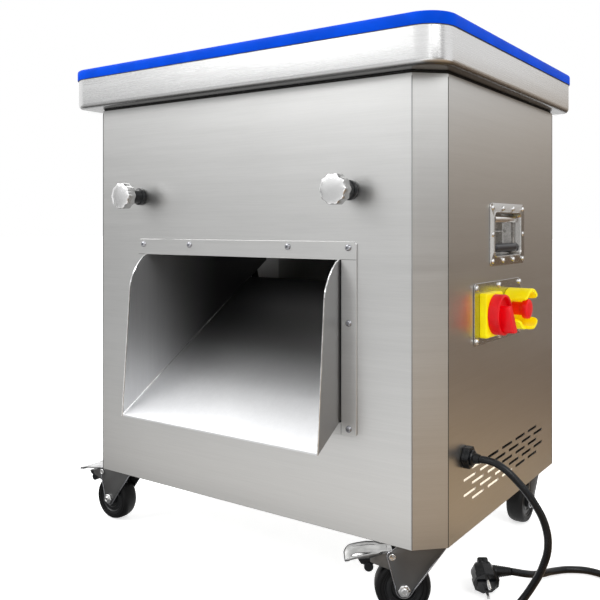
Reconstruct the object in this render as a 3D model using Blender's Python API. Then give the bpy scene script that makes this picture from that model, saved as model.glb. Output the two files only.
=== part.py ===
"""Floor-standing industrial meat slicer on castors.

Metres, +Z up, +X to the machine's right as seen from the front, +Y to its back.
The origin is on the floor under the middle of the cabinet.
"""
import math

import bmesh
import bpy
import numpy as np

for leftover in list(bpy.data.objects):
    bpy.data.objects.remove(leftover, do_unlink=True)

# Clearances and sheet
GAP = 0.0003
SHEET = 0.002
SKIN = 0.0015

# Cabinet
CABINET_WIDTH = 0.659
CABINET_DEPTH = 0.506
CORNER_CUT = 0.035
PANEL_BOTTOM = 0.0995
PANEL_TOP = 0.710
BASE_RECESS = 0.005
BASE_THICKNESS = 0.003
BASE_LIP = 0.018
TOP_PLATE_LIP = 0.020

# Feed tray and its edging
TRAY_WIDTH = 0.700
TRAY_DEPTH = 0.562
TRAY_UNDERSIDE = 0.717
TRAY_STEEL_HEIGHT = 0.0499
TRAY_CORNER = 0.040
TRAY_FILLET = 0.008
EDGING_HEIGHT = 0.0164
EDGING_WALL = 0.0018
EDGING_GRIP = 0.012
EDGING_SHOULDER = 0.003
EDGING_CROWN = 0.0006
EDGING_FOOT = 0.0008
THROAT_WIDTH = 0.300
THROAT_DEPTH = 0.120
THROAT_CLEARANCE = 0.010
THROAT_FLANGE = 0.012

# Outlet
CHUTE_HALF = 0.1865
CHUTE_TIP_Y = -0.308
CHUTE_TIP_Z = 0.2185
CHUTE_KNEE_Y = -0.293
CHUTE_KNEE_Z = 0.428
CHUTE_BEND = 0.039
CHUTE_TOP_Z = 0.4703
CHUTE_FLOOR_END_Y = 0.013
CHUTE_WALL_END_Y = 0.065
CHUTE_SLOPE = 0.626
FLANGE_LEFT = 0.205
FLANGE_RIGHT = 0.2135
FLANGE_CLEARANCE = 0.0027
FLANGE_BOTTOM = 0.2328
FLANGE_HEAD = 0.025
FLANGE_CORNER = 0.005
OUTLET_MARGIN = 0.003
SCREW_HEAD = 0.0045
SCREW_HEIGHT = 0.0028
SCREW_INSET = 0.0085
TOP_SCREWS_X = (-0.193, -0.091, 0.0995, 0.2006)
SIDE_SCREWS_Z = (0.385, 0.242)

# Star knobs
KNOB_X = 0.202
KNOB_Z = 0.565
KNOB_RADIUS = 0.0215
KNOB_HEAD = 0.0185
KNOB_LOBES = 8
KNOB_LOBE_DEPTH = 0.0022
COLLAR_LENGTH = 0.0135
COLLAR_RADIUS = 0.0105
STUD_RADIUS = 0.004

# Knife box
KNIFE_Y = -0.060
KNIFE_Z = 0.532
KNIFE_SPREAD = 0.088
BLADE_RADIUS = 0.050
BLADE_COUNT = 11
BLADE_PITCH = 0.030
BLADE_ROOT = 0.0026
BLADE_EDGE = 0.0010
SPACER_RADIUS = 0.021
SHAFT_RADIUS = 0.009
BEARING_RADIUS = 0.016
BOX_SIDE_X = 0.176
BOX_SIDE_WALL = 0.008
BOX_SIDE_DROP = 0.046
BOX_SIDE_RISE = 0.054
BOX_SIDE_BACK = 0.052
BEARING_PROUD = 0.003
END_PLAY = 0.003
TIE_RADIUS = 0.006
CLAMP_BAR_HEIGHT = 0.030
CLAMP_BAR_DEPTH = 0.008
RAIL_WIDTH = 0.0095
RAIL_DROP = 0.012
RAIL_WALL = 0.003
COMB_THICKNESS = 0.003
COMB_TOOTH = 0.008
COMB_SPINE = 0.010
COMB_CLEARANCE = 0.004

# Drive
GEAR_TEETH = 16
GEAR_WIDTH = 0.014
GEAR_X = 0.190
GEAR_ADDENDUM = 0.0046
GEAR_DEDENDUM = 0.0060
BELT_X = -0.222
BELT_WIDTH = 0.013
BELT_HEIGHT = 0.008
BELT_TAPER = 0.0025
DRIVEN_PULLEY = 0.055
MOTOR_PULLEY = 0.021
PULLEY_RIM = 0.004
MOTOR_Y = 0.120
MOTOR_SHAFT_HEIGHT = 0.071
MOTOR_RADIUS = 0.062
MOTOR_FOOT = 0.066
MOTOR_FOOT_HEIGHT = 0.009
MOTOR_LENGTH = 0.200
MOTOR_FINS = 18
MOTOR_BELL = 0.032
TERMINAL_BOX_SINK = 0.016
TERMINAL_BOX_RISE = 0.018
MOTOR_SHAFT = 0.009
MOTOR_STANDOFF = 0.012

# Castors
CASTOR_X = 0.285
CASTOR_Y = 0.209
FRONT_LEFT_TURN = 180
FRONT_RIGHT_TURN = 215
REAR_TURN = -90
WHEEL_RADIUS = 0.0375
WHEEL_HALF = 0.014
HUB_RADIUS = 0.0255
HUB_BOSS = 0.011
HUB_RECESS = 0.0025
HUB_PLAY = 0.0006
TYRE_SHOULDER = 0.004
TYRE_CROWN = 0.0007
TYRE_BEAD = 0.0015
TRAIL = 0.024
AXLE_RADIUS = 0.004
FORK_HALF = 0.019
FORK_SHEET = 0.0025
FORK_REACH = 0.031
FORK_BOSS = 0.0105
FORK_SHOULDER = 0.006
BOLT_PROUD = 0.0035
BOLT_SINK = 0.0005
RACE_RADIUS = 0.021
RACE_HEIGHT = 0.003
PLATE_HALF = 0.028
PLATE_THICKNESS = 0.0025
PLATE_CHAMFER = 0.010
PEDAL_PIVOT_X = 0.040
PEDAL_PIVOT_Z = 0.082
PEDAL_LENGTH = 0.066
PEDAL_TIP_DROP = 0.015
PEDAL_HALF = 0.0225
PEDAL_LUG = 0.0065
PEDAL_FLARE = 0.0045
PEDAL_STATIONS = ((0.07, 0.56), (0.32, 0.80), (0.62, 1.0), (0.90, 0.86), (1.0, 0.5))
PIN_RADIUS = 0.003
PEDAL_BARREL = 0.0062
SHOE_CLEARANCE = 0.0015
SHOE_LEAD = 16

# Lift handles
HANDLE_Y = -0.004
HANDLE_Z = 0.5042
HANDLE_LENGTH = 0.1437
HANDLE_HEIGHT = 0.0925
DISH_LENGTH = 0.111
DISH_HEIGHT = 0.063
DISH_DEPTH = 0.028
DISH_DRAFT = 0.005
DISH_CORNER = 0.007
BAIL_DROP = 0.043
BAIL_ROD = 0.004
BAIL_INSET = 0.006
BAIL_HEADROOM = 0.009
BAIL_PLAY = 0.0015
BAIL_ARM = 0.0085
GRIP_RADIUS = 0.0065
GRIP_HALF = 0.0475
RIVET_RADIUS = 0.0035

# Controls on the right side
SWITCH_PLATE_FRONT = -0.135
SWITCH_PLATE_BACK = 0.050
SWITCH_PLATE_BOTTOM = 0.349
SWITCH_PLATE_TOP = 0.436
SWITCH_SCREW_INSET = 0.0065
ISOLATOR_Y = -0.0855
ISOLATOR_Z = 0.3905
ISOLATOR_SIDE = 0.063
ISOLATOR_THICKNESS = 0.010
ISOLATOR_CORNER = 0.004
ISOLATOR_BEVEL = 0.0012
DRUM_RADIUS = 0.029
DRUM_HEIGHT = 0.018
DRUM_WALL = 0.0035
GRIP_WIDTH = 0.014
GRIP_UP = 0.013
GRIP_DOWN = 0.0245
GRIP_PROUD = 0.0145
ESTOP_Y = 0.0
ESTOP_Z = 0.392
GUARD_RADIUS = 0.031
GUARD_WALL = 0.0045
GUARD_PROUD = 0.040
GUARD_FLOOR = 0.006
GUARD_WINDOW = 0.034
GUARD_NOTCH = 0.009
MUSHROOM_RADIUS = 0.0145
MUSHROOM_PROUD = 0.036
STEM_RADIUS = 0.010
STEM_CLEARANCE = 0.0006
STOP_TRAVEL = 0.0045

# Louvre slots
SLOT_ROWS = 5
SLOT_TOP = 0.1835
SLOT_RISE = 0.0105
SLOT_Y = -0.0035
SLOT_PITCH = 0.0575
SLOT_LENGTH = 0.042
SLOT_HEIGHT = 0.004
SLOT_COLUMNS = 6

# Mains lead
GLAND_Y = -0.165
GLAND_Z = 0.205
GLAND_NUT = 0.0155
GLAND_LENGTH = 0.021
GLAND_THREAD = 0.008
CORD_RADIUS = 0.005
CORD_STEP = 0.024
COIL_CENTRE = (0.458, -0.270)
COIL_RADIUS = 0.058
PLUG_FACE = (0.3415, -0.1175, 0.0181)
PLUG_RADIUS = 0.019
PLUG_LENGTH = 0.032
PLUG_TURN = 35
PLUG_LEAN = 21
PIN_SPACING = 0.019
PIN_LENGTH = 0.019
PLUG_PIN = 0.0024
RELIEF_LENGTH = 0.020
BOOT_SET = 0.7
CORD_STRAIGHT = 0.012

HALF_W = CABINET_WIDTH / 2
HALF_D = CABINET_DEPTH / 2
ROUND = 20


def finish(name, colour, roughness, metallic):
    """One surface finish as a plain Principled material."""
    material = bpy.data.materials.new(name)
    material.use_nodes = True
    shader = material.node_tree.nodes["Principled BSDF"]
    shader.inputs["Base Color"].default_value = (*colour, 1.0)
    shader.inputs["Roughness"].default_value = roughness
    shader.inputs["Metallic"].default_value = metallic
    return material


STAINLESS = ((0.62, 0.62, 0.61), 0.32, 1.0)
BRIGHT = ((0.75, 0.75, 0.74), 0.2, 1.0)
ZINC = ((0.55, 0.56, 0.58), 0.3, 1.0)
DARK_STEEL = ((0.2, 0.2, 0.21), 0.45, 0.8)
BLUE = ((0.0, 0.06, 0.68), 0.35, 0.0)
RED = ((0.8, 0.01, 0.01), 0.35, 0.0)
YELLOW = ((0.9, 0.72, 0.0), 0.4, 0.0)
BLACK = ((0.02, 0.02, 0.022), 0.5, 0.0)
RUBBER = ((0.015, 0.015, 0.015), 0.75, 0.0)
PALE = ((0.8, 0.8, 0.79), 0.4, 0.0)
GREY = ((0.1, 0.11, 0.12), 0.5, 0.0)
ENAMEL = ((0.12, 0.2, 0.25), 0.45, 0.0)


def plane_point(axis, a, b, height):
    """Places the point (a, b) of the plane across an axis at a height on that axis."""
    return {"X": (height, a, b), "Y": (a, height, b), "Z": (a, b, height)}[axis]


def ring(outline, axis, height):
    return np.array([plane_point(axis, a, b, height) for a, b in outline])


def loft(rings, closed=False):
    """Skins rings with equally many points; a closed loft joins the last ring to the first."""
    count = len(rings[0])
    faces = []
    for i in range(len(rings) if closed else len(rings) - 1):
        a = i * count
        b = (i + 1) % len(rings) * count
        faces += [(a + j, a + (j + 1) % count, b + (j + 1) % count, b + j) for j in range(count)]
    if not closed:
        last = (len(rings) - 1) * count
        faces.append(tuple(range(count)))
        faces.append(tuple(range(last, last + count)))
    return np.vstack(rings), faces


def slab(outline, axis, low, high):
    """Solid with a flat outline, extruded along an axis."""
    return loft([ring(outline, axis, low), ring(outline, axis, high)])


def rectangle(width, height, centre=(0.0, 0.0)):
    a, b = width / 2, height / 2
    return [(centre[0] + x, centre[1] + y) for x, y in ((a, b), (-a, b), (-a, -b), (a, -b))]


def rounded(width, height, radius, steps=3, centre=(0.0, 0.0)):
    """Rectangle with rounded corners, anticlockwise from the first corner's start."""
    corners = ((1, 1, 0), (-1, 1, 90), (-1, -1, 180), (1, -1, 270))
    points = []
    for sx, sy, start in corners:
        for k in range(steps + 1):
            turn = math.radians(start + 90 * k / steps)
            x = sx * (width / 2 - radius) + radius * math.cos(turn)
            y = sy * (height / 2 - radius) + radius * math.sin(turn)
            points.append((centre[0] + x, centre[1] + y))
    return points


def chamfered(half_width, half_depth, cut):
    """Rectangle whose corners are cut at 45 degrees."""
    w, d = half_width, half_depth
    return [
        (w, d - cut), (w - cut, d), (-w + cut, d), (-w, d - cut),
        (-w, -d + cut), (-w + cut, -d), (w - cut, -d), (w, -d + cut),
    ]


def cabinet_outline(inset):
    """The cabinet's plan, moved inwards by an inset on all eight sides."""
    cut = CORNER_CUT - inset * (2 - math.sqrt(2))
    return chamfered(HALF_W - inset, HALF_D - inset, cut)


def arc(centre, radius, start, end, steps):
    """Points of an arc between two angles in degrees."""
    turns = np.radians(np.linspace(start, end, steps + 1))
    return [(centre[0] + radius * math.cos(t), centre[1] + radius * math.sin(t)) for t in turns]


def circle(radius, count=ROUND, centre=(0.0, 0.0)):
    """Polygon of a circle whose lowest side is level."""
    turns = (np.arange(count) + 0.5) * 2 * math.pi / count
    return [(centre[0] + radius * math.sin(t), centre[1] - radius * math.cos(t)) for t in turns]


def block(low, high):
    """Box between two corners."""
    outline = [(low[0], low[1]), (high[0], low[1]), (high[0], high[1]), (low[0], high[1])]
    return slab(outline, "Z", low[2], high[2])


def turned(profile, axis, centre, count=ROUND, closed=False):
    """Solid of revolution; the profile lists (radius, place along the axis)."""
    across = [i for i in range(3) if "XYZ"[i] != axis]
    middle = (centre[across[0]], centre[across[1]])
    base = centre["XYZ".index(axis)]
    rings = [ring(circle(radius, count, middle), axis, base + place) for radius, place in profile]
    return loft(rings, closed)


def rod(radius, axis, centre, low, high, count=12):
    """Plain cylinder between two places along an axis."""
    return turned([(radius, low), (radius, high)], axis, centre, count)


def moved(shell, offset):
    return shell[0] + np.asarray(offset), shell[1]


def mirrored(shell, axis):
    """Mirror image in the plane through the origin across an axis."""
    factor = np.ones(3)
    factor["XYZ".index(axis)] = -1
    return shell[0] * factor, shell[1]


def framed(shell, centre, x_axis, y_axis, z_axis):
    """Carries a shell from its own axes into the machine's axes."""
    return shell[0] @ np.array([x_axis, y_axis, z_axis], float) + np.asarray(centre), shell[1]


def mesh_of(name, shells):
    """Mesh with every shell as a closed body whose faces point out."""
    vertices = []
    faces = []
    for points, corners in shells:
        start = len(vertices)
        vertices += [tuple(p) for p in points]
        faces += [tuple(start + i for i in face) for face in corners]
    mesh = bpy.data.meshes.new(name)
    mesh.from_pydata(vertices, [], faces)
    work = bmesh.new()
    work.from_mesh(mesh)
    bmesh.ops.remove_doubles(work, verts=work.verts, dist=0.000002)
    bmesh.ops.recalc_face_normals(work, faces=work.faces)
    work.to_mesh(mesh)
    work.free()
    return mesh


def carved(shell, tools, operation="DIFFERENCE"):
    """A shell after a Boolean with some tool shells, which don't meet each other."""
    body = bpy.data.objects.new("body", mesh_of("body", [shell]))
    tool = bpy.data.objects.new("tool", mesh_of("tool", tools))
    for item in (body, tool):
        bpy.context.scene.collection.objects.link(item)
    modifier = body.modifiers.new("carve", "BOOLEAN")
    modifier.operation = operation
    modifier.object = tool
    bpy.context.view_layer.update()
    result = bpy.data.meshes.new_from_object(body.evaluated_get(bpy.context.evaluated_depsgraph_get()))
    points = np.array([v.co[:] for v in result.vertices])
    faces = [tuple(p.vertices) for p in result.polygons]
    for item in (body, tool):
        bpy.data.objects.remove(item, do_unlink=True)
    return points, faces


def place(name, mesh, look, origin=(0, 0, 0), turn=0.0):
    """One named piece with its own material."""
    piece = bpy.data.objects.new(name, mesh)
    piece.location = origin
    piece.rotation_euler = (0, 0, math.radians(turn))
    bpy.context.scene.collection.objects.link(piece)
    piece.data.materials.clear()
    piece.data.materials.append(finish(name, *look))
    piece.data.shade_smooth()
    piece.data.set_sharp_from_angle(angle=math.radians(35))
    return piece


def piece(name, look, *shells, origin=(0, 0, 0)):
    """A piece modelled where it stands, with its origin on its joint's axis where it moves."""
    return place(name, mesh_of(name, [moved(s, -np.asarray(origin)) for s in shells]), look, origin)


def screw(axis, centre, outward):
    """Domed screw head set into a face; outward is +1 or -1 along the axis."""
    profile = [
        (SCREW_HEAD, -outward * SHEET / 4), (SCREW_HEAD * 0.85, outward * SCREW_HEIGHT * 0.6),
        (SCREW_HEAD * 0.5, outward * SCREW_HEIGHT),
    ]
    return turned(profile, axis, centre, 8)


def chute_line(y):
    """Height of the chute floor's top face."""
    return CHUTE_TIP_Z + (y - CHUTE_TIP_Y) * CHUTE_SLOPE


def chute_under(y):
    """Height of the chute floor's underside."""
    return chute_line(y) - SHEET * math.hypot(1, CHUTE_SLOPE)


def slot_tools():
    """Cutters of the louvre slots, whose rows are staggered by half a pitch."""
    tools = []
    for row in range(SLOT_ROWS):
        z = SLOT_TOP - row * SLOT_RISE
        columns = SLOT_COLUMNS - 1 + row % 2
        for column in range(columns):
            y = SLOT_Y + (column - (columns - 1) / 2) * SLOT_PITCH
            outline = rectangle(SLOT_LENGTH, SLOT_HEIGHT, (y, z))
            tools.append(slab(outline, "X", HALF_W - 2 * SHEET, HALF_W + SHEET))
    return tools


def side_panel(gland):
    """Right side panel with its slots and the hole for the handle's dish."""
    back = HALF_D - CORNER_CUT - GAP
    panel = block((HALF_W - SHEET, -back, PANEL_BOTTOM), (HALF_W, back, PANEL_TOP))
    reach = (HALF_W - 2 * SHEET, HALF_W + SHEET)
    grow = 2 * (SKIN + GAP)
    dish = rounded(DISH_LENGTH + grow, DISH_HEIGHT + grow, DISH_CORNER, 3, (HANDLE_Y, HANDLE_Z))
    tools = slot_tools() + [slab(dish, "X", *reach)]
    if gland:
        tools.append(rod(GLAND_THREAD + GAP, "X", (0, GLAND_Y, GLAND_Z), *reach))
    return carved(panel, tools)


def folded_sheet():
    """Plan of the front sheet: a flat front with two 45 degree returns."""
    corner = HALF_D - CORNER_CUT
    outer = [
        (-HALF_W, -corner), (-HALF_W + CORNER_CUT, -HALF_D),
        (HALF_W - CORNER_CUT, -HALF_D), (HALF_W, -corner),
    ]
    inner_x = HALF_W - CORNER_CUT - SHEET * (math.sqrt(2) - 1)
    end_x = HALF_W - SHEET * math.sqrt(2)
    inner = [
        (end_x, -corner), (inner_x, -HALF_D + SHEET),
        (-inner_x, -HALF_D + SHEET), (-end_x, -corner),
    ]
    return outer + inner


def cabinet():
    """Base pan, top plate and the four skins."""
    sheet = slab(folded_sheet(), "Z", PANEL_BOTTOM, PANEL_TOP)
    reach = (-HALF_D - SHEET, -HALF_D + 2 * SHEET)
    width = 2 * (CHUTE_HALF + FLANGE_CLEARANCE + OUTLET_MARGIN)
    low = flange_sill() - OUTLET_MARGIN
    high = CHUTE_TOP_Z + OUTLET_MARGIN
    outlet = slab(rectangle(width, high - low, (0, (high + low) / 2)), "Y", *reach)
    holes = [rod(STUD_RADIUS + GAP, "Y", (x, 0, KNOB_Z), *reach) for x in (-KNOB_X, KNOB_X)]
    piece("front_panel", STAINLESS, carved(sheet, [outlet] + holes))
    piece("rear_panel", STAINLESS, mirrored(sheet, "Y"))
    piece("right_panel", STAINLESS, side_panel(True))
    piece("left_panel", STAINLESS, mirrored(side_panel(False), "X"))

    base = PANEL_BOTTOM + BASE_RECESS
    outside = cabinet_outline(SHEET + GAP)
    inside = cabinet_outline(2 * SHEET + GAP)
    pan = [
        ring(outside, "Z", base), ring(outside, "Z", base + BASE_LIP),
        ring(inside, "Z", base + BASE_LIP), ring(inside, "Z", base + BASE_THICKNESS),
    ]
    piece("base_pan", STAINLESS, loft(pan))

    top = TRAY_UNDERSIDE - GAP
    hole = chamfered(THROAT_WIDTH / 2 + SHEET + GAP, THROAT_DEPTH / 2 + SHEET + GAP, GAP)
    hole = [(x, y + KNIFE_Y) for x, y in hole]
    plate = [
        ring(outside, "Z", top), ring(outside, "Z", PANEL_TOP - TOP_PLATE_LIP),
        ring(inside, "Z", PANEL_TOP - TOP_PLATE_LIP), ring(inside, "Z", top - SHEET),
        ring(hole, "Z", top - SHEET), ring(hole, "Z", top),
    ]
    piece("top_plate", STAINLESS, loft(plate, closed=True))


def tray_ring(inset, z):
    outline = rounded(TRAY_WIDTH - 2 * inset, TRAY_DEPTH - 2 * inset, TRAY_CORNER - inset, 5)
    return ring(outline, "Z", z)


def feed_tray():
    """Pressed tray with a rounded lower edge, its plastic edging, and the throat down to the knives."""
    rim = TRAY_UNDERSIDE + TRAY_STEEL_HEIGHT + EDGING_HEIGHT - EDGING_WALL - GAP
    fillet = TRAY_FILLET
    grow = SHEET + GAP
    outline = rounded(THROAT_WIDTH + 2 * grow, THROAT_DEPTH + 2 * grow, SHEET / 2, 5, (0, KNIFE_Y))
    bend = fillet * (1 - math.sqrt(0.5))
    floor = TRAY_UNDERSIDE + SKIN
    pan = [
        ring(outline, "Z", TRAY_UNDERSIDE),
        tray_ring(fillet, TRAY_UNDERSIDE),
        tray_ring(bend, TRAY_UNDERSIDE + bend),
        tray_ring(0, TRAY_UNDERSIDE + fillet),
        tray_ring(0, rim),
        tray_ring(SKIN, rim),
        tray_ring(SKIN, TRAY_UNDERSIDE + fillet),
        tray_ring(fillet, floor),
        ring(outline, "Z", floor),
    ]
    piece("feed_tray", STAINLESS, loft(pan, closed=True))

    foot = TRAY_UNDERSIDE + TRAY_STEEL_HEIGHT
    crown = foot + EDGING_HEIGHT
    inner = SKIN + GAP + EDGING_WALL
    edging = [
        tray_ring(-GAP, foot), tray_ring(-GAP - EDGING_WALL, foot + EDGING_FOOT),
        tray_ring(-GAP - EDGING_WALL, crown - EDGING_SHOULDER), tray_ring(-GAP, crown - EDGING_CROWN),
        tray_ring(SKIN / 2, crown), tray_ring(inner - EDGING_WALL, crown - EDGING_CROWN),
        tray_ring(inner, crown - EDGING_SHOULDER), tray_ring(inner, crown - EDGING_GRIP),
        tray_ring(SKIN + GAP, crown - EDGING_GRIP), tray_ring(SKIN + GAP, rim + GAP),
        tray_ring(-GAP, rim + GAP),
    ]
    piece("tray_edging", BLUE, loft(edging, closed=True))

    def throat_ring(grow, z):
        return ring(rectangle(THROAT_WIDTH + 2 * grow, THROAT_DEPTH + 2 * grow, (0, KNIFE_Y)), "Z", z)

    seat = floor + GAP
    throat_foot = KNIFE_Z + BLADE_RADIUS + THROAT_CLEARANCE
    throat = [
        throat_ring(0, throat_foot), throat_ring(0, seat + SHEET),
        throat_ring(THROAT_FLANGE, seat + SHEET), throat_ring(THROAT_FLANGE, seat),
        throat_ring(SHEET, seat), throat_ring(SHEET, throat_foot),
    ]
    piece("feed_throat", STAINLESS, loft(throat, closed=True))


def flange_sill():
    """Height of the frame's lower strip, which the chute rests on."""
    return chute_under(-HALF_D - GAP - SHEET) - GAP


def outlet():
    """Sloping chute between two walls, and the screwed frame round its mouth."""
    panel_face = -HALF_D - GAP
    side = [
        (CHUTE_TIP_Y, chute_under(CHUTE_TIP_Y)), (CHUTE_KNEE_Y, CHUTE_KNEE_Z),
        *arc((CHUTE_KNEE_Y + CHUTE_BEND, CHUTE_TOP_Z - CHUTE_BEND), CHUTE_BEND, 176, 90, 5),
        (CHUTE_WALL_END_Y, CHUTE_TOP_Z), (CHUTE_WALL_END_Y, chute_under(CHUTE_WALL_END_Y)),
    ]
    beyond = CHUTE_TIP_Y - SHEET, CHUTE_WALL_END_Y + SHEET
    inside = [
        (beyond[0], chute_line(beyond[0])), (CHUTE_FLOOR_END_Y, chute_line(CHUTE_FLOOR_END_Y)),
        (CHUTE_FLOOR_END_Y, chute_under(CHUTE_FLOOR_END_Y) - SHEET),
        (beyond[1], chute_under(CHUTE_FLOOR_END_Y) - SHEET), (beyond[1], CHUTE_TOP_Z + SHEET),
        (beyond[0], CHUTE_TOP_Z + SHEET),
    ]
    inner = CHUTE_HALF - SKIN
    chute = carved(slab(side, "X", -CHUTE_HALF, CHUTE_HALF), [slab(inside, "X", -inner, inner)])
    piece("chute", STAINLESS, chute)

    front = (panel_face - SHEET, panel_face)
    head_z = CHUTE_TOP_Z + GAP
    top = head_z + FLANGE_HEAD
    middle = ((FLANGE_RIGHT - FLANGE_LEFT) / 2, (top + FLANGE_BOTTOM) / 2)
    frame = rounded(FLANGE_RIGHT + FLANGE_LEFT, top - FLANGE_BOTTOM, FLANGE_CORNER, 3, middle)
    mouth = CHUTE_HALF + FLANGE_CLEARANCE
    sill = flange_sill()
    opening = rectangle(2 * mouth, head_z - sill, (0, (head_z + sill) / 2))
    plate = carved(slab(frame, "Y", *front), [slab(opening, "Y", front[0] - SHEET, front[1] + SHEET)])
    centres = [(x, top - SCREW_INSET) for x in TOP_SCREWS_X]
    for z in SIDE_SCREWS_Z:
        centres += [((mouth + FLANGE_RIGHT) / 2, z), (-(mouth + FLANGE_LEFT) / 2, z)]
    heads = [screw("Y", (x, front[0], z), -1) for x, z in centres]
    piece("chute_flange", STAINLESS, carved(plate, heads, "UNION"))


def star_knobs():
    """Star knobs on studs that screw into the clamp bar, each with a loose collar behind it."""
    count = KNOB_LOBES * 3
    turns = np.arange(count) * 2 * math.pi / count
    lobed = KNOB_RADIUS - KNOB_LOBE_DEPTH * (1 - np.cos(KNOB_LOBES * turns)) / 2

    def knob_ring(x, radius, y):
        outline = [(x + r * math.cos(t), KNOB_Z + r * math.sin(t)) for r, t in zip(radius, turns)]
        return ring(outline, "Y", y)

    even = np.ones(count)
    back = -HALF_D - GAP - COLLAR_LENGTH - GAP
    face = back - KNOB_HEAD
    stud_end = -HALF_D + SHEET + CLAMP_BAR_DEPTH
    for side, x in (("left", -KNOB_X), ("right", KNOB_X)):
        rings = [
            knob_ring(x, even * STUD_RADIUS, stud_end),
            knob_ring(x, even * STUD_RADIUS, back),
            knob_ring(x, even * COLLAR_RADIUS, back),
            knob_ring(x, lobed * 0.96, back - 0.004),
            knob_ring(x, lobed, face + 0.006),
            knob_ring(x, lobed * 0.86, face + 0.0015),
            knob_ring(x, even * KNOB_RADIUS * 0.5, face),
        ]
        piece(f"star_knob_{side}", PALE, loft(rings), origin=(x, -HALF_D, KNOB_Z))
        wall = [
            (STUD_RADIUS + GAP, -GAP), (COLLAR_RADIUS, -GAP),
            (COLLAR_RADIUS, -GAP - COLLAR_LENGTH), (STUD_RADIUS + GAP, -GAP - COLLAR_LENGTH),
        ]
        collar = turned(wall, "Y", (x, -HALF_D, KNOB_Z), 16, closed=True)
        piece(f"knob_collar_{side}", BLACK, collar, origin=(x, -HALF_D, KNOB_Z))


def shaft_places():
    """Front and rear knife shaft: name, axis position in Y, and half a pitch of stagger."""
    return (
        ("front", KNIFE_Y - KNIFE_SPREAD / 2, -BLADE_PITCH / 4),
        ("rear", KNIFE_Y + KNIFE_SPREAD / 2, BLADE_PITCH / 4),
    )


def knife_profile(shift, left_end, right_end):
    """Radius against X for one shaft with its circular blades and the spacers between them."""
    profile = [(SHAFT_RADIUS, left_end)]
    first = shift - (BLADE_COUNT - 1) / 2 * BLADE_PITCH
    stack = BOX_SIDE_X - END_PLAY
    profile += [(SHAFT_RADIUS, -stack), (SPACER_RADIUS, -stack)]
    for number in range(BLADE_COUNT):
        x = first + number * BLADE_PITCH
        profile += [
            (SPACER_RADIUS, x - BLADE_ROOT / 2), (BLADE_RADIUS, x - BLADE_EDGE / 2),
            (BLADE_RADIUS, x + BLADE_EDGE / 2), (SPACER_RADIUS, x + BLADE_ROOT / 2),
        ]
    profile += [(SPACER_RADIUS, stack), (SHAFT_RADIUS, stack), (SHAFT_RADIUS, right_end)]
    return profile


def gear(centre_y, phase):
    """Spur gear about a knife shaft; its teeth are trapezoids a little thinner than their gaps."""
    pitch_radius = KNIFE_SPREAD / 2
    tooth = 2 * math.pi / GEAR_TEETH
    outline = []
    for number in range(GEAR_TEETH):
        middle = (number + phase) * tooth
        for share, radius in (
            (-0.31, pitch_radius - GEAR_DEDENDUM), (-0.13, pitch_radius + GEAR_ADDENDUM),
            (0.13, pitch_radius + GEAR_ADDENDUM), (0.31, pitch_radius - GEAR_DEDENDUM),
        ):
            turn = middle + share * tooth
            outline.append((centre_y + radius * math.cos(turn), KNIFE_Z + radius * math.sin(turn)))
    bore = [(centre_y + (SHAFT_RADIUS + GAP) * math.cos(t), KNIFE_Z + (SHAFT_RADIUS + GAP) * math.sin(t))
            for t in (np.arange(GEAR_TEETH * 4) + 0.5) * 2 * math.pi / (GEAR_TEETH * 4)]
    low, high = GEAR_X, GEAR_X + GEAR_WIDTH
    return loft([ring(outline, "X", low), ring(outline, "X", high),
                 ring(bore, "X", high), ring(bore, "X", low)], closed=True)


def box_side(front, outer):
    """Right side plate of the knife box with its bearing housings."""
    bottom, top = KNIFE_Z - BOX_SIDE_DROP, KNIFE_Z + BOX_SIDE_RISE
    outline = [(front, bottom), (BOX_SIDE_BACK, bottom), (BOX_SIDE_BACK, top), (front, top)]
    plate = slab(outline, "X", BOX_SIDE_X, outer)
    housings = [rod(BEARING_RADIUS, "X", (0, y, KNIFE_Z), BOX_SIDE_X + SHEET, outer + BEARING_PROUD, 16)
                for _, y, _ in shaft_places()]
    reach = (BOX_SIDE_X - SHEET, outer + BEARING_PROUD + SHEET)
    bores = [rod(SHAFT_RADIUS + GAP, "X", (0, y, KNIFE_Z), *reach, 16) for _, y, _ in shaft_places()]
    return carved(carved(plate, housings, "UNION"), bores)


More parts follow.
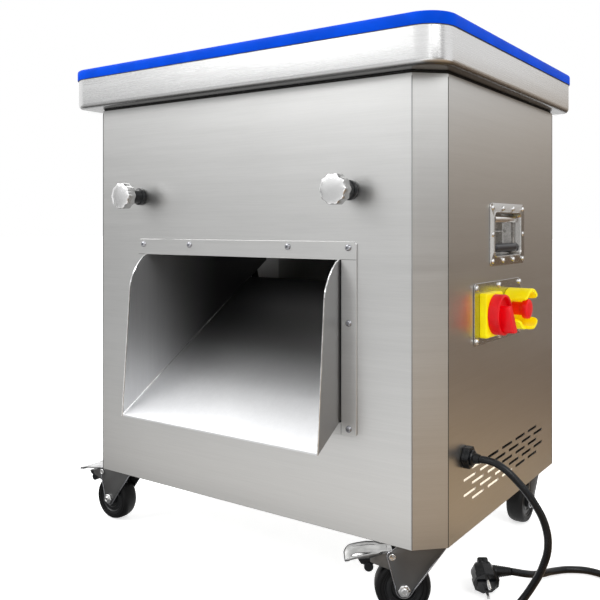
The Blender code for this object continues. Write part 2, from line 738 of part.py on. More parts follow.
def knife_box():
    """Welded knife box on its two rails: side plates, tie bars and the bar that the knobs draw in."""
    front = -HALF_D + SHEET + GAP
    back = front + CLAMP_BAR_DEPTH
    outer = BOX_SIDE_X + BOX_SIDE_WALL
    right = box_side(front + CLAMP_BAR_DEPTH / 2, outer)
    low = KNOB_Z - CLAMP_BAR_HEIGHT / 2
    half = KNOB_X + CLAMP_BAR_HEIGHT / 2
    clamp = block((-half, front, low), (half, back, low + CLAMP_BAR_HEIGHT))
    threads = [rod(STUD_RADIUS + GAP, "Y", (x, 0, KNOB_Z), front - SHEET, back + SHEET)
               for x in (-KNOB_X, KNOB_X)]
    clamp = carved(clamp, threads)
    tie_z = KNIFE_Z + BOX_SIDE_RISE - 2 * TIE_RADIUS
    reach = BOX_SIDE_X + BOX_SIDE_WALL / 2
    ties = [rod(TIE_RADIUS, "X", (0, y, tie_z), -reach, reach, 10)
            for y in (back + 4 * TIE_RADIUS, BOX_SIDE_BACK - 2 * TIE_RADIUS)]
    frame = carved(clamp, [right, mirrored(right, "X")], "UNION")
    piece("knife_box", STAINLESS, carved(frame, ties, "UNION"))

    top = KNIFE_Z - BOX_SIDE_DROP - GAP
    end = HALF_D - SHEET - GAP
    inside = outer - BOX_SIDE_WALL / 2 - RAIL_WALL / 2
    outside = inside + RAIL_WIDTH
    rail = slab([
        (inside, top), (inside, top - RAIL_WALL), (outside - RAIL_WALL, top - RAIL_WALL),
        (outside - RAIL_WALL, top - RAIL_DROP), (outside, top - RAIL_DROP), (outside, top),
    ], "Y", -end, end)
    piece("rail_right", STAINLESS, rail)
    piece("rail_left", STAINLESS, mirrored(rail, "X"))


def knife_stacks():
    """Two knife shafts with their blades, spur gears and scraper combs."""
    left_ends = {"front": -BOX_SIDE_X - BOX_SIDE_WALL - BEARING_PROUD - GAP, "rear": BELT_X - BELT_WIDTH}
    for (name, y, shift), phase, side in zip(shaft_places(), (0.0, 0.5), (-1, 1)):
        profile = knife_profile(shift, left_ends[name], GEAR_X + GEAR_WIDTH)
        place_at = (0, y, KNIFE_Z)
        piece(f"knife_shaft_{name}", BRIGHT, turned(profile, "X", place_at, ROUND), origin=place_at)
        piece(f"gear_{name}", DARK_STEEL, gear(y, phase), origin=place_at)
        piece(f"scraper_comb_{name}", BRIGHT, comb(y, shift, side))


def comb(shaft_y, shift, side):
    """Scraper comb: a flat bar outside the blades, with teeth that reach in between them."""
    spine = shaft_y + side * (BLADE_RADIUS + COMB_CLEARANCE)
    back = spine + side * COMB_SPINE
    tip = shaft_y + side * (SPACER_RADIUS + COMB_CLEARANCE)
    half = BOX_SIDE_X - GAP
    first = shift - BLADE_COUNT / 2 * BLADE_PITCH
    outline = [(-half, back), (half, back), (half, spine)]
    for number in reversed(range(1, BLADE_COUNT)):
        x = first + number * BLADE_PITCH
        outline += [(x + COMB_TOOTH, spine), (x + COMB_TOOTH * 0.7, tip),
                    (x - COMB_TOOTH * 0.7, tip), (x - COMB_TOOTH, spine)]
    outline.append((-half, spine))
    low = KNIFE_Z - COMB_THICKNESS / 2
    return slab(outline, "Z", low, low + COMB_THICKNESS)


def v_profile(radius, bore, shaft=()):
    """Profile of a single-groove V-pulley; a shaft's own points may follow its right face."""
    half = BELT_WIDTH / 2
    narrow = half - BELT_TAPER
    floor = radius - BELT_HEIGHT / 2 - GAP
    crest = radius + BELT_HEIGHT / 2
    side = half + PULLEY_RIM
    return [
        (bore, -side), (crest, -side), (crest, -half - GAP), (floor, -narrow - GAP),
        (floor, narrow + GAP), (crest, half + GAP), (crest, side), (bore, side), *shaft,
    ]


def drive():
    """Foot-mounted motor with its pulley, the V-belt and the pulley on the rear knife shaft."""
    base_top = PANEL_BOTTOM + BASE_RECESS + BASE_THICKNESS + GAP
    motor_z = base_top + MOTOR_SHAFT_HEIGHT
    rear_y = KNIFE_Y + KNIFE_SPREAD / 2
    body_left = BELT_X + BELT_WIDTH / 2 + PULLEY_RIM + MOTOR_STANDOFF
    upper = (BELT_X, rear_y, KNIFE_Z)
    lower = (BELT_X, MOTOR_Y, motor_z)
    wheel = turned(v_profile(DRIVEN_PULLEY, SHAFT_RADIUS + GAP), "X", upper, ROUND, closed=True)
    piece("driven_pulley", DARK_STEEL, wheel, origin=upper)
    shaft = v_profile(MOTOR_PULLEY, MOTOR_SHAFT, [(MOTOR_SHAFT, body_left - GAP - BELT_X)])
    piece("motor_pulley", DARK_STEEL, turned(shaft, "X", lower, ROUND), origin=lower)
    piece("drive_belt", RUBBER, belt_shell(np.array(upper[1:]), np.array(lower[1:])))
    piece("motor", ENAMEL, motor_shell(body_left, motor_z, base_top))


def belt_shell(driven, motor):
    """V-section belt round two circles: arcs on both pulleys and straight runs that touch them."""
    span = driven - motor
    heading = math.degrees(math.atan2(span[1], span[0]))
    lean = math.degrees(math.asin((DRIVEN_PULLEY - MOTOR_PULLEY) / math.hypot(*span)))

    def loop(offset):
        big = arc(driven, DRIVEN_PULLEY + offset, heading - 90 - lean, heading + 90 + lean, 12)
        return big + arc(motor, MOTOR_PULLEY + offset, heading + 90 + lean, heading + 270 - lean, 8)

    half = BELT_WIDTH / 2
    low, high = loop(-BELT_HEIGHT / 2 + GAP), loop(BELT_HEIGHT / 2)
    return loft([
        ring(low, "X", BELT_X - half + BELT_TAPER), ring(high, "X", BELT_X - half),
        ring(high, "X", BELT_X + half), ring(low, "X", BELT_X + half - BELT_TAPER),
    ], closed=True)


def motor_shell(left, axis_z, base_top):
    """Ribbed motor body with end bells, cast feet and a terminal box on top."""
    count = MOTOR_FINS * 4
    turns = (np.arange(count) + 0.5) * 2 * math.pi / count
    even = np.ones(count) * MOTOR_RADIUS
    fins = np.tile([1.0, 1.0, 0.92, 0.92], MOTOR_FINS) * MOTOR_RADIUS
    bell = MOTOR_BELL
    rings = []
    for radius, x in (
        (even * 0.55, 0), (even * 0.86, bell * 0.6), (fins, bell), (fins, MOTOR_LENGTH - bell),
        (even * 0.91, MOTOR_LENGTH - bell * 0.9), (even * 0.88, MOTOR_LENGTH),
    ):
        outline = np.column_stack([MOTOR_Y + radius * np.cos(turns), axis_z + radius * np.sin(turns)])
        rings.append(ring(outline, "X", left + x))
    toe = base_top + MOTOR_FOOT_HEIGHT
    waist = base_top + MOTOR_SHAFT_HEIGHT - MOTOR_RADIUS * 0.75
    foot = [
        (MOTOR_Y - MOTOR_FOOT, base_top), (MOTOR_Y + MOTOR_FOOT, base_top), (MOTOR_Y + MOTOR_FOOT, toe),
        (MOTOR_Y + MOTOR_FOOT * 0.72, toe), (MOTOR_Y + MOTOR_FOOT * 0.5, waist),
        (MOTOR_Y - MOTOR_FOOT * 0.5, waist), (MOTOR_Y - MOTOR_FOOT * 0.72, toe),
        (MOTOR_Y - MOTOR_FOOT, toe),
    ]
    low, high = left + 1.4 * bell, left + MOTOR_LENGTH - 1.4 * bell
    box_half = MOTOR_FOOT * 0.6
    crown = axis_z + MOTOR_RADIUS
    box = block((low, MOTOR_Y - box_half, crown - TERMINAL_BOX_SINK),
                ((low + high) / 2, MOTOR_Y + box_half, crown + TERMINAL_BOX_RISE))
    return carved(loft(rings), [slab(foot, "X", low, high), box], "UNION")


def fork_mesh(braked):
    """Castor fork about its swivel axis, trailing along +X: two ears, crown and riveted axle."""
    top = PANEL_BOTTOM + BASE_RECESS - PLATE_THICKNESS - RACE_HEIGHT - GAP
    boss = arc((TRAIL, WHEEL_RADIUS), FORK_BOSS, 205, 350, 6)
    shoulder = PEDAL_PIVOT_X - PEDAL_LUG
    lug = [(shoulder, top - FORK_SHOULDER)]
    if braked:
        lug = arc((PEDAL_PIVOT_X, PEDAL_PIVOT_Z), PEDAL_LUG, -30, 80, 3)
    outline = [(-FORK_REACH, top), (-FORK_REACH, top - FORK_SHOULDER), *boss, *lug, (shoulder, top)]
    body = slab(outline, "Y", -FORK_HALF, FORK_HALF)
    inner = FORK_HALF - FORK_SHEET
    far = TRAIL + 2 * FORK_REACH
    well = block((-far, -inner, -SHEET), (far, inner, top - FORK_SHEET))
    body = carved(body, [well])

    def bolt(radius, head, x, z):
        proud = FORK_HALF + BOLT_PROUD
        seat = FORK_HALF - BOLT_SINK
        return turned([
            (head, -proud), (head, -seat), (radius, -seat), (radius, seat), (head, seat), (head, proud),
        ], "Y", (x, 0, z), 12)

    bolts = [bolt(AXLE_RADIUS, AXLE_RADIUS * 1.9, TRAIL, WHEEL_RADIUS)]
    if braked:
        bolts.append(bolt(PIN_RADIUS, PIN_RADIUS * 1.4, PEDAL_PIVOT_X, PEDAL_PIVOT_Z))
    return mesh_of("fork", [carved(body, bolts, "UNION")])


def hub_mesh():
    """Wheel centre with bore, about its own axle along Y."""
    bore = AXLE_RADIUS + GAP
    boss = FORK_HALF - FORK_SHEET - HUB_PLAY
    web = WHEEL_HALF - HUB_RECESS
    profile = [
        (bore, -boss), (HUB_BOSS, -boss), (HUB_BOSS, -web), (HUB_RADIUS, -web),
        (HUB_RADIUS, web), (HUB_BOSS, web), (HUB_BOSS, boss), (bore, boss),
    ]
    return mesh_of("hub", [turned(profile, "Y", (0, 0, 0), ROUND, closed=True)])


def tyre_mesh():
    """Rubber tread on the hub; its flats lie at the wheel's radius."""
    flat = 1 / math.cos(math.pi / ROUND)
    tread = WHEEL_RADIUS * flat
    seat = HUB_RADIUS + GAP
    half = [
        (seat, WHEEL_HALF - TYRE_BEAD), (tread - TYRE_SHOULDER, WHEEL_HALF),
        (tread - TYRE_CROWN, WHEEL_HALF * 0.68), (tread, WHEEL_HALF * 0.3),
    ]
    profile = [(radius, -y) for radius, y in half] + half[::-1]
    return mesh_of("tyre", [turned(profile, "Y", (0, 0, 0), ROUND, closed=True)])


def pedal_mesh():
    """Stamped brake pedal about its pin along Y, reaching along +X, with a shoe under the barrel."""
    inner = FORK_HALF - FORK_SHEET - 4 * GAP
    rings = []
    for share, width in PEDAL_STATIONS:
        half = width * PEDAL_HALF
        z = -PEDAL_TIP_DROP * share
        edge = z + PEDAL_FLARE * math.sin(math.pi * share)
        rings.append(ring([
            (-half, edge), (-half * 0.72, z), (half * 0.72, z), (half, edge), (half * 0.98, edge + SHEET),
            (half * 0.68, z + SHEET), (-half * 0.68, z + SHEET), (-half * 0.98, edge + SHEET),
        ], "X", share * PEDAL_LENGTH))
    hole = PIN_RADIUS + GAP
    barrel = [(hole, -inner), (PEDAL_BARREL, -inner), (PEDAL_BARREL, inner), (hole, inner)]
    barrel = turned(barrel, "Y", (0, 0, 0), 12, closed=True)
    drop = math.hypot(TRAIL - PEDAL_PIVOT_X, WHEEL_RADIUS - PEDAL_PIVOT_Z)
    turn = math.atan2(WHEEL_RADIUS - PEDAL_PIVOT_Z, TRAIL - PEDAL_PIVOT_X) + math.radians(SHOE_LEAD)
    along = np.array([math.cos(turn), math.sin(turn)])
    across = np.array([-along[1], along[0]]) * PIN_RADIUS * 0.7
    near, far = along * (hole + PEDAL_BARREL) / 2, along * (drop - WHEEL_RADIUS - SHOE_CLEARANCE)
    shoe = slab([near + across, near - across, far - across, far + across], "Y", -inner * 0.8, inner * 0.8)
    return mesh_of("pedal", [carved(carved(barrel, [loft(rings)], "UNION"), [shoe], "UNION")])


def castors():
    """Four swivel castors, each turned as it stands; the two at the front carry brake pedals."""
    plate_top = PANEL_BOTTOM + BASE_RECESS - GAP
    plate_low = plate_top - PLATE_THICKNESS + GAP
    hub, tyre = hub_mesh(), tyre_mesh()
    pedal = pedal_mesh()
    forks = {True: fork_mesh(True), False: fork_mesh(False)}
    corners = (
        ("front_left", -CASTOR_X, -CASTOR_Y, FRONT_LEFT_TURN, True),
        ("front_right", CASTOR_X, -CASTOR_Y, FRONT_RIGHT_TURN, True),
        ("rear_left", -CASTOR_X, CASTOR_Y, REAR_TURN, False),
        ("rear_right", CASTOR_X, CASTOR_Y, REAR_TURN, False),
    )
    for name, x, y, turn, braked in corners:
        outline = [(x + a, y + b) for a, b in chamfered(PLATE_HALF, PLATE_HALF, PLATE_CHAMFER)]
        plate = slab(outline, "Z", plate_low, plate_top)
        race = rod(RACE_RADIUS, "Z", (x, y, 0), plate_low - RACE_HEIGHT, plate_low + SHEET / 2, 16)
        piece(f"castor_plate_{name}", ZINC, carved(plate, [race], "UNION"))
        direction = np.array([math.cos(math.radians(turn)), math.sin(math.radians(turn))])
        axle = (x + TRAIL * direction[0], y + TRAIL * direction[1], WHEEL_RADIUS)
        place(f"fork_{name}", forks[braked].copy(), DARK_STEEL, (x, y, 0), turn)
        place(f"hub_{name}", hub.copy(), GREY, axle, turn)
        place(f"tyre_{name}", tyre.copy(), RUBBER, axle, turn)
        if braked:
            pivot = (x + PEDAL_PIVOT_X * direction[0], y + PEDAL_PIVOT_X * direction[1], PEDAL_PIVOT_Z)
            place(f"brake_pedal_{name}", pedal.copy(), ZINC, pivot, turn)


def handle_dish():
    """Right handle's dish: a pressed pocket whose rim plate carries ten rivet heads."""
    face = HALF_W + GAP
    front = face + SKIN

    def plate_ring(length, height, radius, x):
        return ring(rounded(length, height, radius, 3, (HANDLE_Y, HANDLE_Z)), "X", x)

    length, height = DISH_LENGTH - 2 * DISH_DRAFT, DISH_HEIGHT - 2 * DISH_DRAFT
    dish = loft([
        plate_ring(length, height, DISH_CORNER, face - DISH_DEPTH + SKIN),
        plate_ring(DISH_LENGTH, DISH_HEIGHT, DISH_CORNER, front),
        plate_ring(HANDLE_LENGTH, HANDLE_HEIGHT, DISH_CORNER, front),
        plate_ring(HANDLE_LENGTH, HANDLE_HEIGHT, DISH_CORNER, face),
        plate_ring(DISH_LENGTH + 2 * SKIN, DISH_HEIGHT + 2 * SKIN, DISH_CORNER, face),
        plate_ring(length + 2 * SKIN, height + 2 * SKIN, DISH_CORNER, face - DISH_DEPTH),
    ])
    row = (DISH_HEIGHT + HANDLE_HEIGHT) / 4
    end = (DISH_LENGTH + HANDLE_LENGTH) / 4
    spots = [(HANDLE_Y + t * end / 3, HANDLE_Z + s * row) for s in (-1, 1) for t in (-3, -1, 1, 3)]
    spots += [(HANDLE_Y + s * end, HANDLE_Z) for s in (-1, 1)]
    dome = [(RIVET_RADIUS, -SKIN / 3), (RIVET_RADIUS * 0.5, RIVET_RADIUS * 0.7)]
    heads = [turned(dome, "X", (front, y, z), 6) for y, z in spots]
    return carved(dish, heads, "UNION")


def lift_handles():
    """Sprung bail handles in their dishes, one on each side."""
    dish = handle_dish()
    piece("handle_dish_right", BRIGHT, dish)
    piece("handle_dish_left", BRIGHT, mirrored(dish, "X"))
    pivot_x = HALF_W - BAIL_INSET
    pivot_z = HANDLE_Z + DISH_HEIGHT / 2 - BAIL_HEADROOM
    wall = DISH_DRAFT * (BAIL_INSET + SKIN + BAIL_ROD) / DISH_DEPTH
    half = DISH_LENGTH / 2 - wall - BAIL_PLAY
    pivot = rod(BAIL_ROD, "Y", (pivot_x, HANDLE_Y, pivot_z), -half, half, 10)
    grip = rod(GRIP_RADIUS, "Y", (pivot_x, HANDLE_Y, pivot_z - BAIL_DROP), -GRIP_HALF, GRIP_HALF, 12)
    thin = BAIL_ROD * 0.4
    arms = []
    for sign in (-1, 1):
        y = HANDLE_Y + sign * (GRIP_HALF - BAIL_ARM)
        arms.append(block((pivot_x - thin, y - BAIL_ROD, pivot_z - BAIL_DROP),
                          (pivot_x + thin, y + BAIL_ROD, pivot_z)))
    bail = carved(carved(pivot, arms, "UNION"), [grip], "UNION")
    piece("lift_handle_right", BRIGHT, bail, origin=(pivot_x, HANDLE_Y, pivot_z))
    piece("lift_handle_left", BRIGHT, mirrored(bail, "X"), origin=(-pivot_x, HANDLE_Y, pivot_z))


def controls():
    """Screwed switch plate with the rotary isolator and the guarded emergency-stop button."""
    face = HALF_W + GAP
    front = face + SKIN
    length = SWITCH_PLATE_BACK - SWITCH_PLATE_FRONT
    height = SWITCH_PLATE_TOP - SWITCH_PLATE_BOTTOM
    middle = ((SWITCH_PLATE_BACK + SWITCH_PLATE_FRONT) / 2, (SWITCH_PLATE_TOP + SWITCH_PLATE_BOTTOM) / 2)
    plate = slab(rounded(length, height, FLANGE_CORNER, 2, middle), "X", face, front)
    ends = [middle[0] + s * (length / 2 - SWITCH_SCREW_INSET) for s in (-1, 0, 1)]
    rows = [middle[1] + s * (height / 2 - SWITCH_SCREW_INSET) for s in (-1, 1)]
    screws = [screw("X", (front, y, z), 1) for y in ends for z in rows]
    piece("switch_plate", BRIGHT, carved(plate, screws, "UNION"))
    seat = front + GAP
    isolator(seat)
    estop(seat)


def isolator(seat):
    """Square isolator base and its round red handle, whose grip stands in a recess."""
    centre = (ISOLATOR_Y, ISOLATOR_Z)
    bevel = ISOLATOR_BEVEL
    foot = seat + ISOLATOR_THICKNESS

    def base_ring(inset, x):
        side = ISOLATOR_SIDE - 2 * inset
        return ring(rounded(side, side, ISOLATOR_CORNER - inset, 2, centre), "X", x)

    base = loft([base_ring(0, seat), base_ring(0, foot - bevel), base_ring(bevel, foot)])
    piece("isolator_base", YELLOW, base)

    foot += GAP
    rim = foot + DRUM_HEIGHT
    well = DRUM_RADIUS - DRUM_WALL
    drum = turned([
        (DRUM_RADIUS, foot), (DRUM_RADIUS, rim - bevel), (DRUM_RADIUS - bevel, rim),
        (well, rim), (well, foot + DRUM_HEIGHT / 2),
    ], "X", (0, *centre), 24)
    low, high = ISOLATOR_Z - GRIP_DOWN, ISOLATOR_Z + GRIP_UP
    rings = []
    for share, proud in ((1.0, 0.0), (0.85, 1.0)):
        half = share * GRIP_WIDTH / 2
        root = foot + DRUM_HEIGHT * 0.4
        low_x = root + proud * (rim - root + GRIP_PROUD)
        high_x = root + proud * (rim - root + GRIP_PROUD / 2)
        rings.append(np.array([(low_x, ISOLATOR_Y - half, low), (low_x, ISOLATOR_Y + half, low),
                               (high_x, ISOLATOR_Y + half, high), (high_x, ISOLATOR_Y - half, high)]))
    handle = carved(drum, [loft(rings)], "UNION")
    piece("isolator_handle", RED, handle, origin=(foot, *centre))


def estop(seat):
    """Mushroom button between the two arcs of its guard; the lower arc ends in a notch."""
    centre = (0, ESTOP_Y, ESTOP_Z)
    inner = GUARD_RADIUS - GUARD_WALL
    collar = seat + GUARD_FLOOR
    crown = seat + GUARD_PROUD
    hole = STEM_RADIUS + STEM_CLEARANCE
    guard = turned([(hole, seat), (GUARD_RADIUS, seat), (GUARD_RADIUS, crown), (inner, crown),
                    (inner, collar), (hole, collar)], "X", centre, 24, closed=True)
    far = 2 * GUARD_RADIUS
    low, high = ESTOP_Z - GUARD_WINDOW / 2, ESTOP_Z + GUARD_WINDOW / 2
    window = block((collar + GUARD_WALL, ESTOP_Y - far, low), (crown + far, ESTOP_Y + far, high))
    notch = block((crown - GUARD_NOTCH, ESTOP_Y - far, ESTOP_Z - far),
                  (crown + far, ESTOP_Y + GUARD_WALL, low + GAP))
    piece("estop_guard", YELLOW, carved(carved(guard, [window]), [notch]))

    head = seat + MUSHROOM_PROUD
    brim = MUSHROOM_PROUD / 4
    button = turned([
        (STEM_RADIUS, seat + STOP_TRAVEL + GAP), (STEM_RADIUS, head - brim * 1.3),
        (MUSHROOM_RADIUS, head - brim), (MUSHROOM_RADIUS, head - brim / 3),
        (MUSHROOM_RADIUS * 0.8, head - brim / 10), (MUSHROOM_RADIUS * 0.3, head),
    ], "X", centre, 16)
    piece("estop_button", RED, button, origin=(seat, ESTOP_Y, ESTOP_Z))


# The lead's route outside its coil: from the gland down to the coil, and from the coil to the plug
ROUTE_DOWN = (
    (0.379, -0.165, 0.201), (0.404, -0.160, 0.180), (0.422, -0.155, 0.156), (0.433, -0.150, 0.131),
    (0.437, -0.150, 0.105), (0.431, -0.150, 0.078), (0.417, -0.151, 0.048), (0.401, -0.158, 0.022),
    (0.390, -0.178, 0.0085), (0.386, -0.205, 0.0055), (0.3847, -0.262, 0.0055),
)
ROUTE_BACK = (
    (0.5313, -0.262, 0.0055), (0.532, -0.210, 0.0055), (0.529, -0.150, 0.0055), (0.522, -0.095, 0.0055),
    (0.512, -0.045, 0.0055), (0.497, -0.005, 0.0055), (0.474, 0.026, 0.0055), (0.447, 0.036, 0.0055),
    (0.418, 0.026, 0.0055), (0.398, 0.003, 0.0065), (0.389, -0.028, 0.0115), (0.381, -0.058, 0.0200),
)


def smooth_route(points, step):
    """Even points of a Catmull-Rom curve through hand-chosen points."""
    points = np.array(points)
    padded = np.vstack([2 * points[0] - points[1], points, 2 * points[-1] - points[-2]])
    t = np.linspace(0, 1, 12, endpoint=False)[:, None]
    spans = []
    for a, b, c, d in zip(padded, padded[1:], padded[2:], padded[3:]):
        spans.append(0.5 * (2 * b + (c - a) * t + (2 * a - 5 * b + 4 * c - d) * t ** 2
                            + (3 * b - a - 3 * c + d) * t ** 3))
    fine = np.vstack(spans + [points[-1:]])
    run = np.concatenate([[0], np.cumsum(np.linalg.norm(np.diff(fine, axis=0), axis=1))])
    even = np.linspace(0, run[-1], max(2, round(run[-1] / step) + 1))
    return np.column_stack([np.interp(even, run, fine[:, i]) for i in range(3)])


def plug_frame():
    """The plug's axes: towards its lead, across its pins, and along its pins; they point down."""
    turn, lean = math.radians(PLUG_TURN), math.radians(PLUG_LEAN)
    exit_way = np.array([math.cos(turn), math.sin(turn), 0.0])
    pin_way = np.array([math.sin(turn) * math.cos(lean), -math.cos(turn) * math.cos(lean), -math.sin(lean)])
    return exit_way, np.cross(pin_way, exit_way), pin_way


def relief_reach():
    """Distance from the plug's axis to the end of its strain relief."""
    return PLUG_RADIUS + RELIEF_LENGTH


def mains_lead():
    """Gland, lead, coil and angled plug."""
    outside = HALF_W + GAP
    tip = outside + GLAND_LENGTH
    gland = turned([
        (GLAND_THREAD, HALF_W - 6 * SHEET), (GLAND_THREAD, outside), (GLAND_NUT, outside),
        (GLAND_NUT, outside + GLAND_LENGTH * 0.35), (GLAND_NUT * 0.8, outside + GLAND_LENGTH * 0.4),
        (GLAND_NUT * 0.72, tip - CORD_RADIUS), (CORD_RADIUS + SKIN, tip),
    ], "X", (0, GLAND_Y, GLAND_Z), 12)
    piece("cable_gland", BLACK, gland)
    exit_way, _, pin_way = plug_frame()
    gland_end = np.array([tip + GAP, GLAND_Y, GLAND_Z])
    plug_end = np.asarray(PLUG_FACE) - pin_way * PLUG_LENGTH * BOOT_SET + exit_way * (relief_reach() + GAP)
    straight = gland_end + np.array([CORD_STRAIGHT, 0, 0])
    cord_tube("cord_machine_end", [gland_end, *smooth_route((straight, *ROUTE_DOWN), CORD_STEP)])
    straight = plug_end + exit_way * CORD_STRAIGHT
    cord_tube("cord_plug_end", [*smooth_route((*ROUTE_BACK, straight), CORD_STEP), plug_end])
    thick = 2 * CORD_RADIUS
    outer, inner = COIL_RADIUS + thick, COIL_RADIUS - thick
    profile = [(inner, GAP), (outer, GAP), (outer, 2 * thick), (inner, 2 * thick)]
    piece("cord_coil", BLACK, turned(profile, "Z", (*COIL_CENTRE, 0), 24, closed=True))
    piece("plug", BLACK, plug_shell())


def cord_tube(name, points):
    """One stretch of the lead as a round tube through its points."""
    lead = bpy.data.curves.new(name, "CURVE")
    lead.dimensions = "3D"
    lead.bevel_depth = CORD_RADIUS
    lead.bevel_resolution = 2
    lead.use_fill_caps = True
    spline = lead.splines.new("POLY")
    spline.points.add(len(points) - 1)
    for target, point in zip(spline.points, points):
        target.co = (*point, 1)
    lead.materials.append(finish(name, *BLACK))
    bpy.context.scene.collection.objects.link(bpy.data.objects.new(name, lead))


def plug_shell():
    """Round earthed plug resting on its pins and lower rim; the lead leaves its side in a boot."""
    r = PLUG_RADIUS
    body = turned([
        (r * 0.55, -PLUG_LENGTH), (r * 0.85, -PLUG_LENGTH * 0.8), (r * 0.9, -PLUG_LENGTH * 0.35),
        (r, -PLUG_LENGTH * 0.3), (r, 0),
    ], "Z", (0, 0, 0), 16)
    pins = [rod(PLUG_PIN, "Z", (0, s * PIN_SPACING / 2, 0), -SHEET, PIN_LENGTH, 8) for s in (-1, 1)]
    boot = turned([
        (r * 0.45, r * 0.3), (r * 0.45, r), (CORD_RADIUS + SKIN / 2, relief_reach()),
    ], "X", (0, 0, -PLUG_LENGTH * BOOT_SET), 12)
    shell = carved(carved(body, pins, "UNION"), [boot], "UNION")
    exit_way, across, pin_way = plug_frame()
    return framed(shell, PLUG_FACE, exit_way, across, pin_way)


cabinet()
feed_tray()
outlet()
star_knobs()
knife_box()
knife_stacks()
drive()
castors()
lift_handles()
controls()
mains_lead()
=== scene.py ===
"""Finishes, fittings, mains lead, light and camera for an industrial meat slicer."""

import math

import bmesh
import bpy
import numpy as np
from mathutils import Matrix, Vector

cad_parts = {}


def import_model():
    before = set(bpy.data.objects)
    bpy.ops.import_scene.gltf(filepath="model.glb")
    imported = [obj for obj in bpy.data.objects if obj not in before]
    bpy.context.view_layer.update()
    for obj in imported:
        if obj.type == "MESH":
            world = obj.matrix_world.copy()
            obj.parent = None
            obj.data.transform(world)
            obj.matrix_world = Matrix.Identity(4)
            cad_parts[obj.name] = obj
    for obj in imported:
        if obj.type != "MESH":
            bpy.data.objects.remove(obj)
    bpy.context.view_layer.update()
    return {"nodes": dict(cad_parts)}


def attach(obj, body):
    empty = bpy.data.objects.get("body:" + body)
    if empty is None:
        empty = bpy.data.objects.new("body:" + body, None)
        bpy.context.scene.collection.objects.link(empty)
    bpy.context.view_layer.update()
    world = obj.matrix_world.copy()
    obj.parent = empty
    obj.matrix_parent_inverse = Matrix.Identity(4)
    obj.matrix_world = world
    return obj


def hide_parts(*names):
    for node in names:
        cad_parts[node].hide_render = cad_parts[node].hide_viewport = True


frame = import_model()
nodes = frame["nodes"]


# Shader maths
class Wire:
    """A node's output; arithmetic on it adds Math nodes."""

    def __init__(self, finish, socket):
        self.finish = finish
        self.socket = socket

    def math(self, operation, *values):
        return self.finish.add("ShaderNodeMath", {"operation": operation}, dict(enumerate(values)))

    def __add__(self, other):
        return self.math("ADD", self, other)

    def __sub__(self, other):
        return self.math("SUBTRACT", self, other)

    def __rsub__(self, other):
        return self.math("SUBTRACT", other, self)

    def __mul__(self, other):
        return self.math("MULTIPLY", self, other)

    def over(self, other):
        return self.math("DIVIDE", self, other)

    __radd__ = __add__
    __rmul__ = __mul__

    def clamped(self, low, high):
        """0 at low, 1 at high, smooth between them."""
        return self.finish.add(
            "ShaderNodeMapRange", {"interpolation_type": "SMOOTHSTEP"},
            {"Value": self, "From Min": low, "From Max": high})


class Finish:
    """A material whose Principled shader takes constants on its sockets and maths from wires."""

    def __init__(self, name, colour, roughness, metallic=0.0, **sockets):
        self.material = bpy.data.materials.new(name)
        self.material.use_nodes = True
        self.tree = self.material.node_tree
        self.shader = self.tree.nodes["Principled BSDF"]
        self.shader.inputs["Base Color"].default_value = (*colour, 1)
        self.shader.inputs["Roughness"].default_value = roughness
        self.shader.inputs["Metallic"].default_value = metallic
        for socket, value in sockets.items():
            self.shader.inputs[socket.replace("_", " ")].default_value = value
        self.colour = colour

    def add(self, kind, settings=(), inputs=(), out=0):
        """A node of one kind: its settings first, then the values or wires of its sockets."""
        node = self.tree.nodes.new(kind)
        for key, value in dict(settings).items():
            if key == "stops":
                ramp = node.color_ramp.elements
                while len(ramp) < len(value):
                    ramp.new(0.5)
                for element, (place, shade) in zip(ramp, value):
                    element.position = place
                    element.color = (*shade, 1)
            else:
                setattr(node, key, value)
        for key, value in dict(inputs).items():
            if isinstance(value, Wire):
                self.tree.links.new(value.socket, node.inputs[key])
            else:
                node.inputs[key].default_value = value
        return Wire(self, node.outputs[out])

    def place(self, stretch=(1, 1, 1)):
        """Object coordinates, stretched."""
        here = self.add("ShaderNodeTexCoord", out=3)
        return self.add("ShaderNodeMapping", {}, {"Vector": here, "Scale": stretch})

    def along(self, axis):
        """Distance along one axis of the object."""
        parts = self.add("ShaderNodeSeparateXYZ", {}, {0: self.place()}).socket.node
        return Wire(self, parts.outputs[axis])

    def noise(self, scale, detail, stretch=(1, 1, 1), roughness=0.5):
        return self.add("ShaderNodeTexNoise", {}, {
            "Vector": self.place(stretch), "Scale": scale, "Detail": detail, "Roughness": roughness})

    def mixed(self, share, first, second):
        """First colour at share 0, second at share 1."""
        pair = [shade if isinstance(shade, Wire) else (*shade, 1) for shade in (first, second)]
        return self.add("ShaderNodeMix", {"data_type": "RGBA"}, {0: share, 6: pair[0], 7: pair[1]}, out=2)

    def bump(self, height, depth):
        return self.add("ShaderNodeBump", {}, {"Height": height, "Distance": depth})

    def feed(self, **wires):
        for socket, wire in wires.items():
            self.tree.links.new(wire.socket, self.shader.inputs[socket.replace("_", " ")])

    def painted_shade_by_place(self, shade, painted_shades):
        """Painted shade: the colour turned to a share of the plain colour by place, once for each (axis, unshaded at,
        shaded at, share).
        """
        for axis, unshaded_at, shaded_at, share in painted_shades:
            reach = self.along(axis).clamped(unshaded_at, shaded_at)
            shade = self.mixed(reach, shade, tone(self.colour, share))
        return shade


def tone(colour, gain):
    """Colour made lighter or darker by a gain."""
    return tuple(min(1.0, channel * gain) for channel in colour)


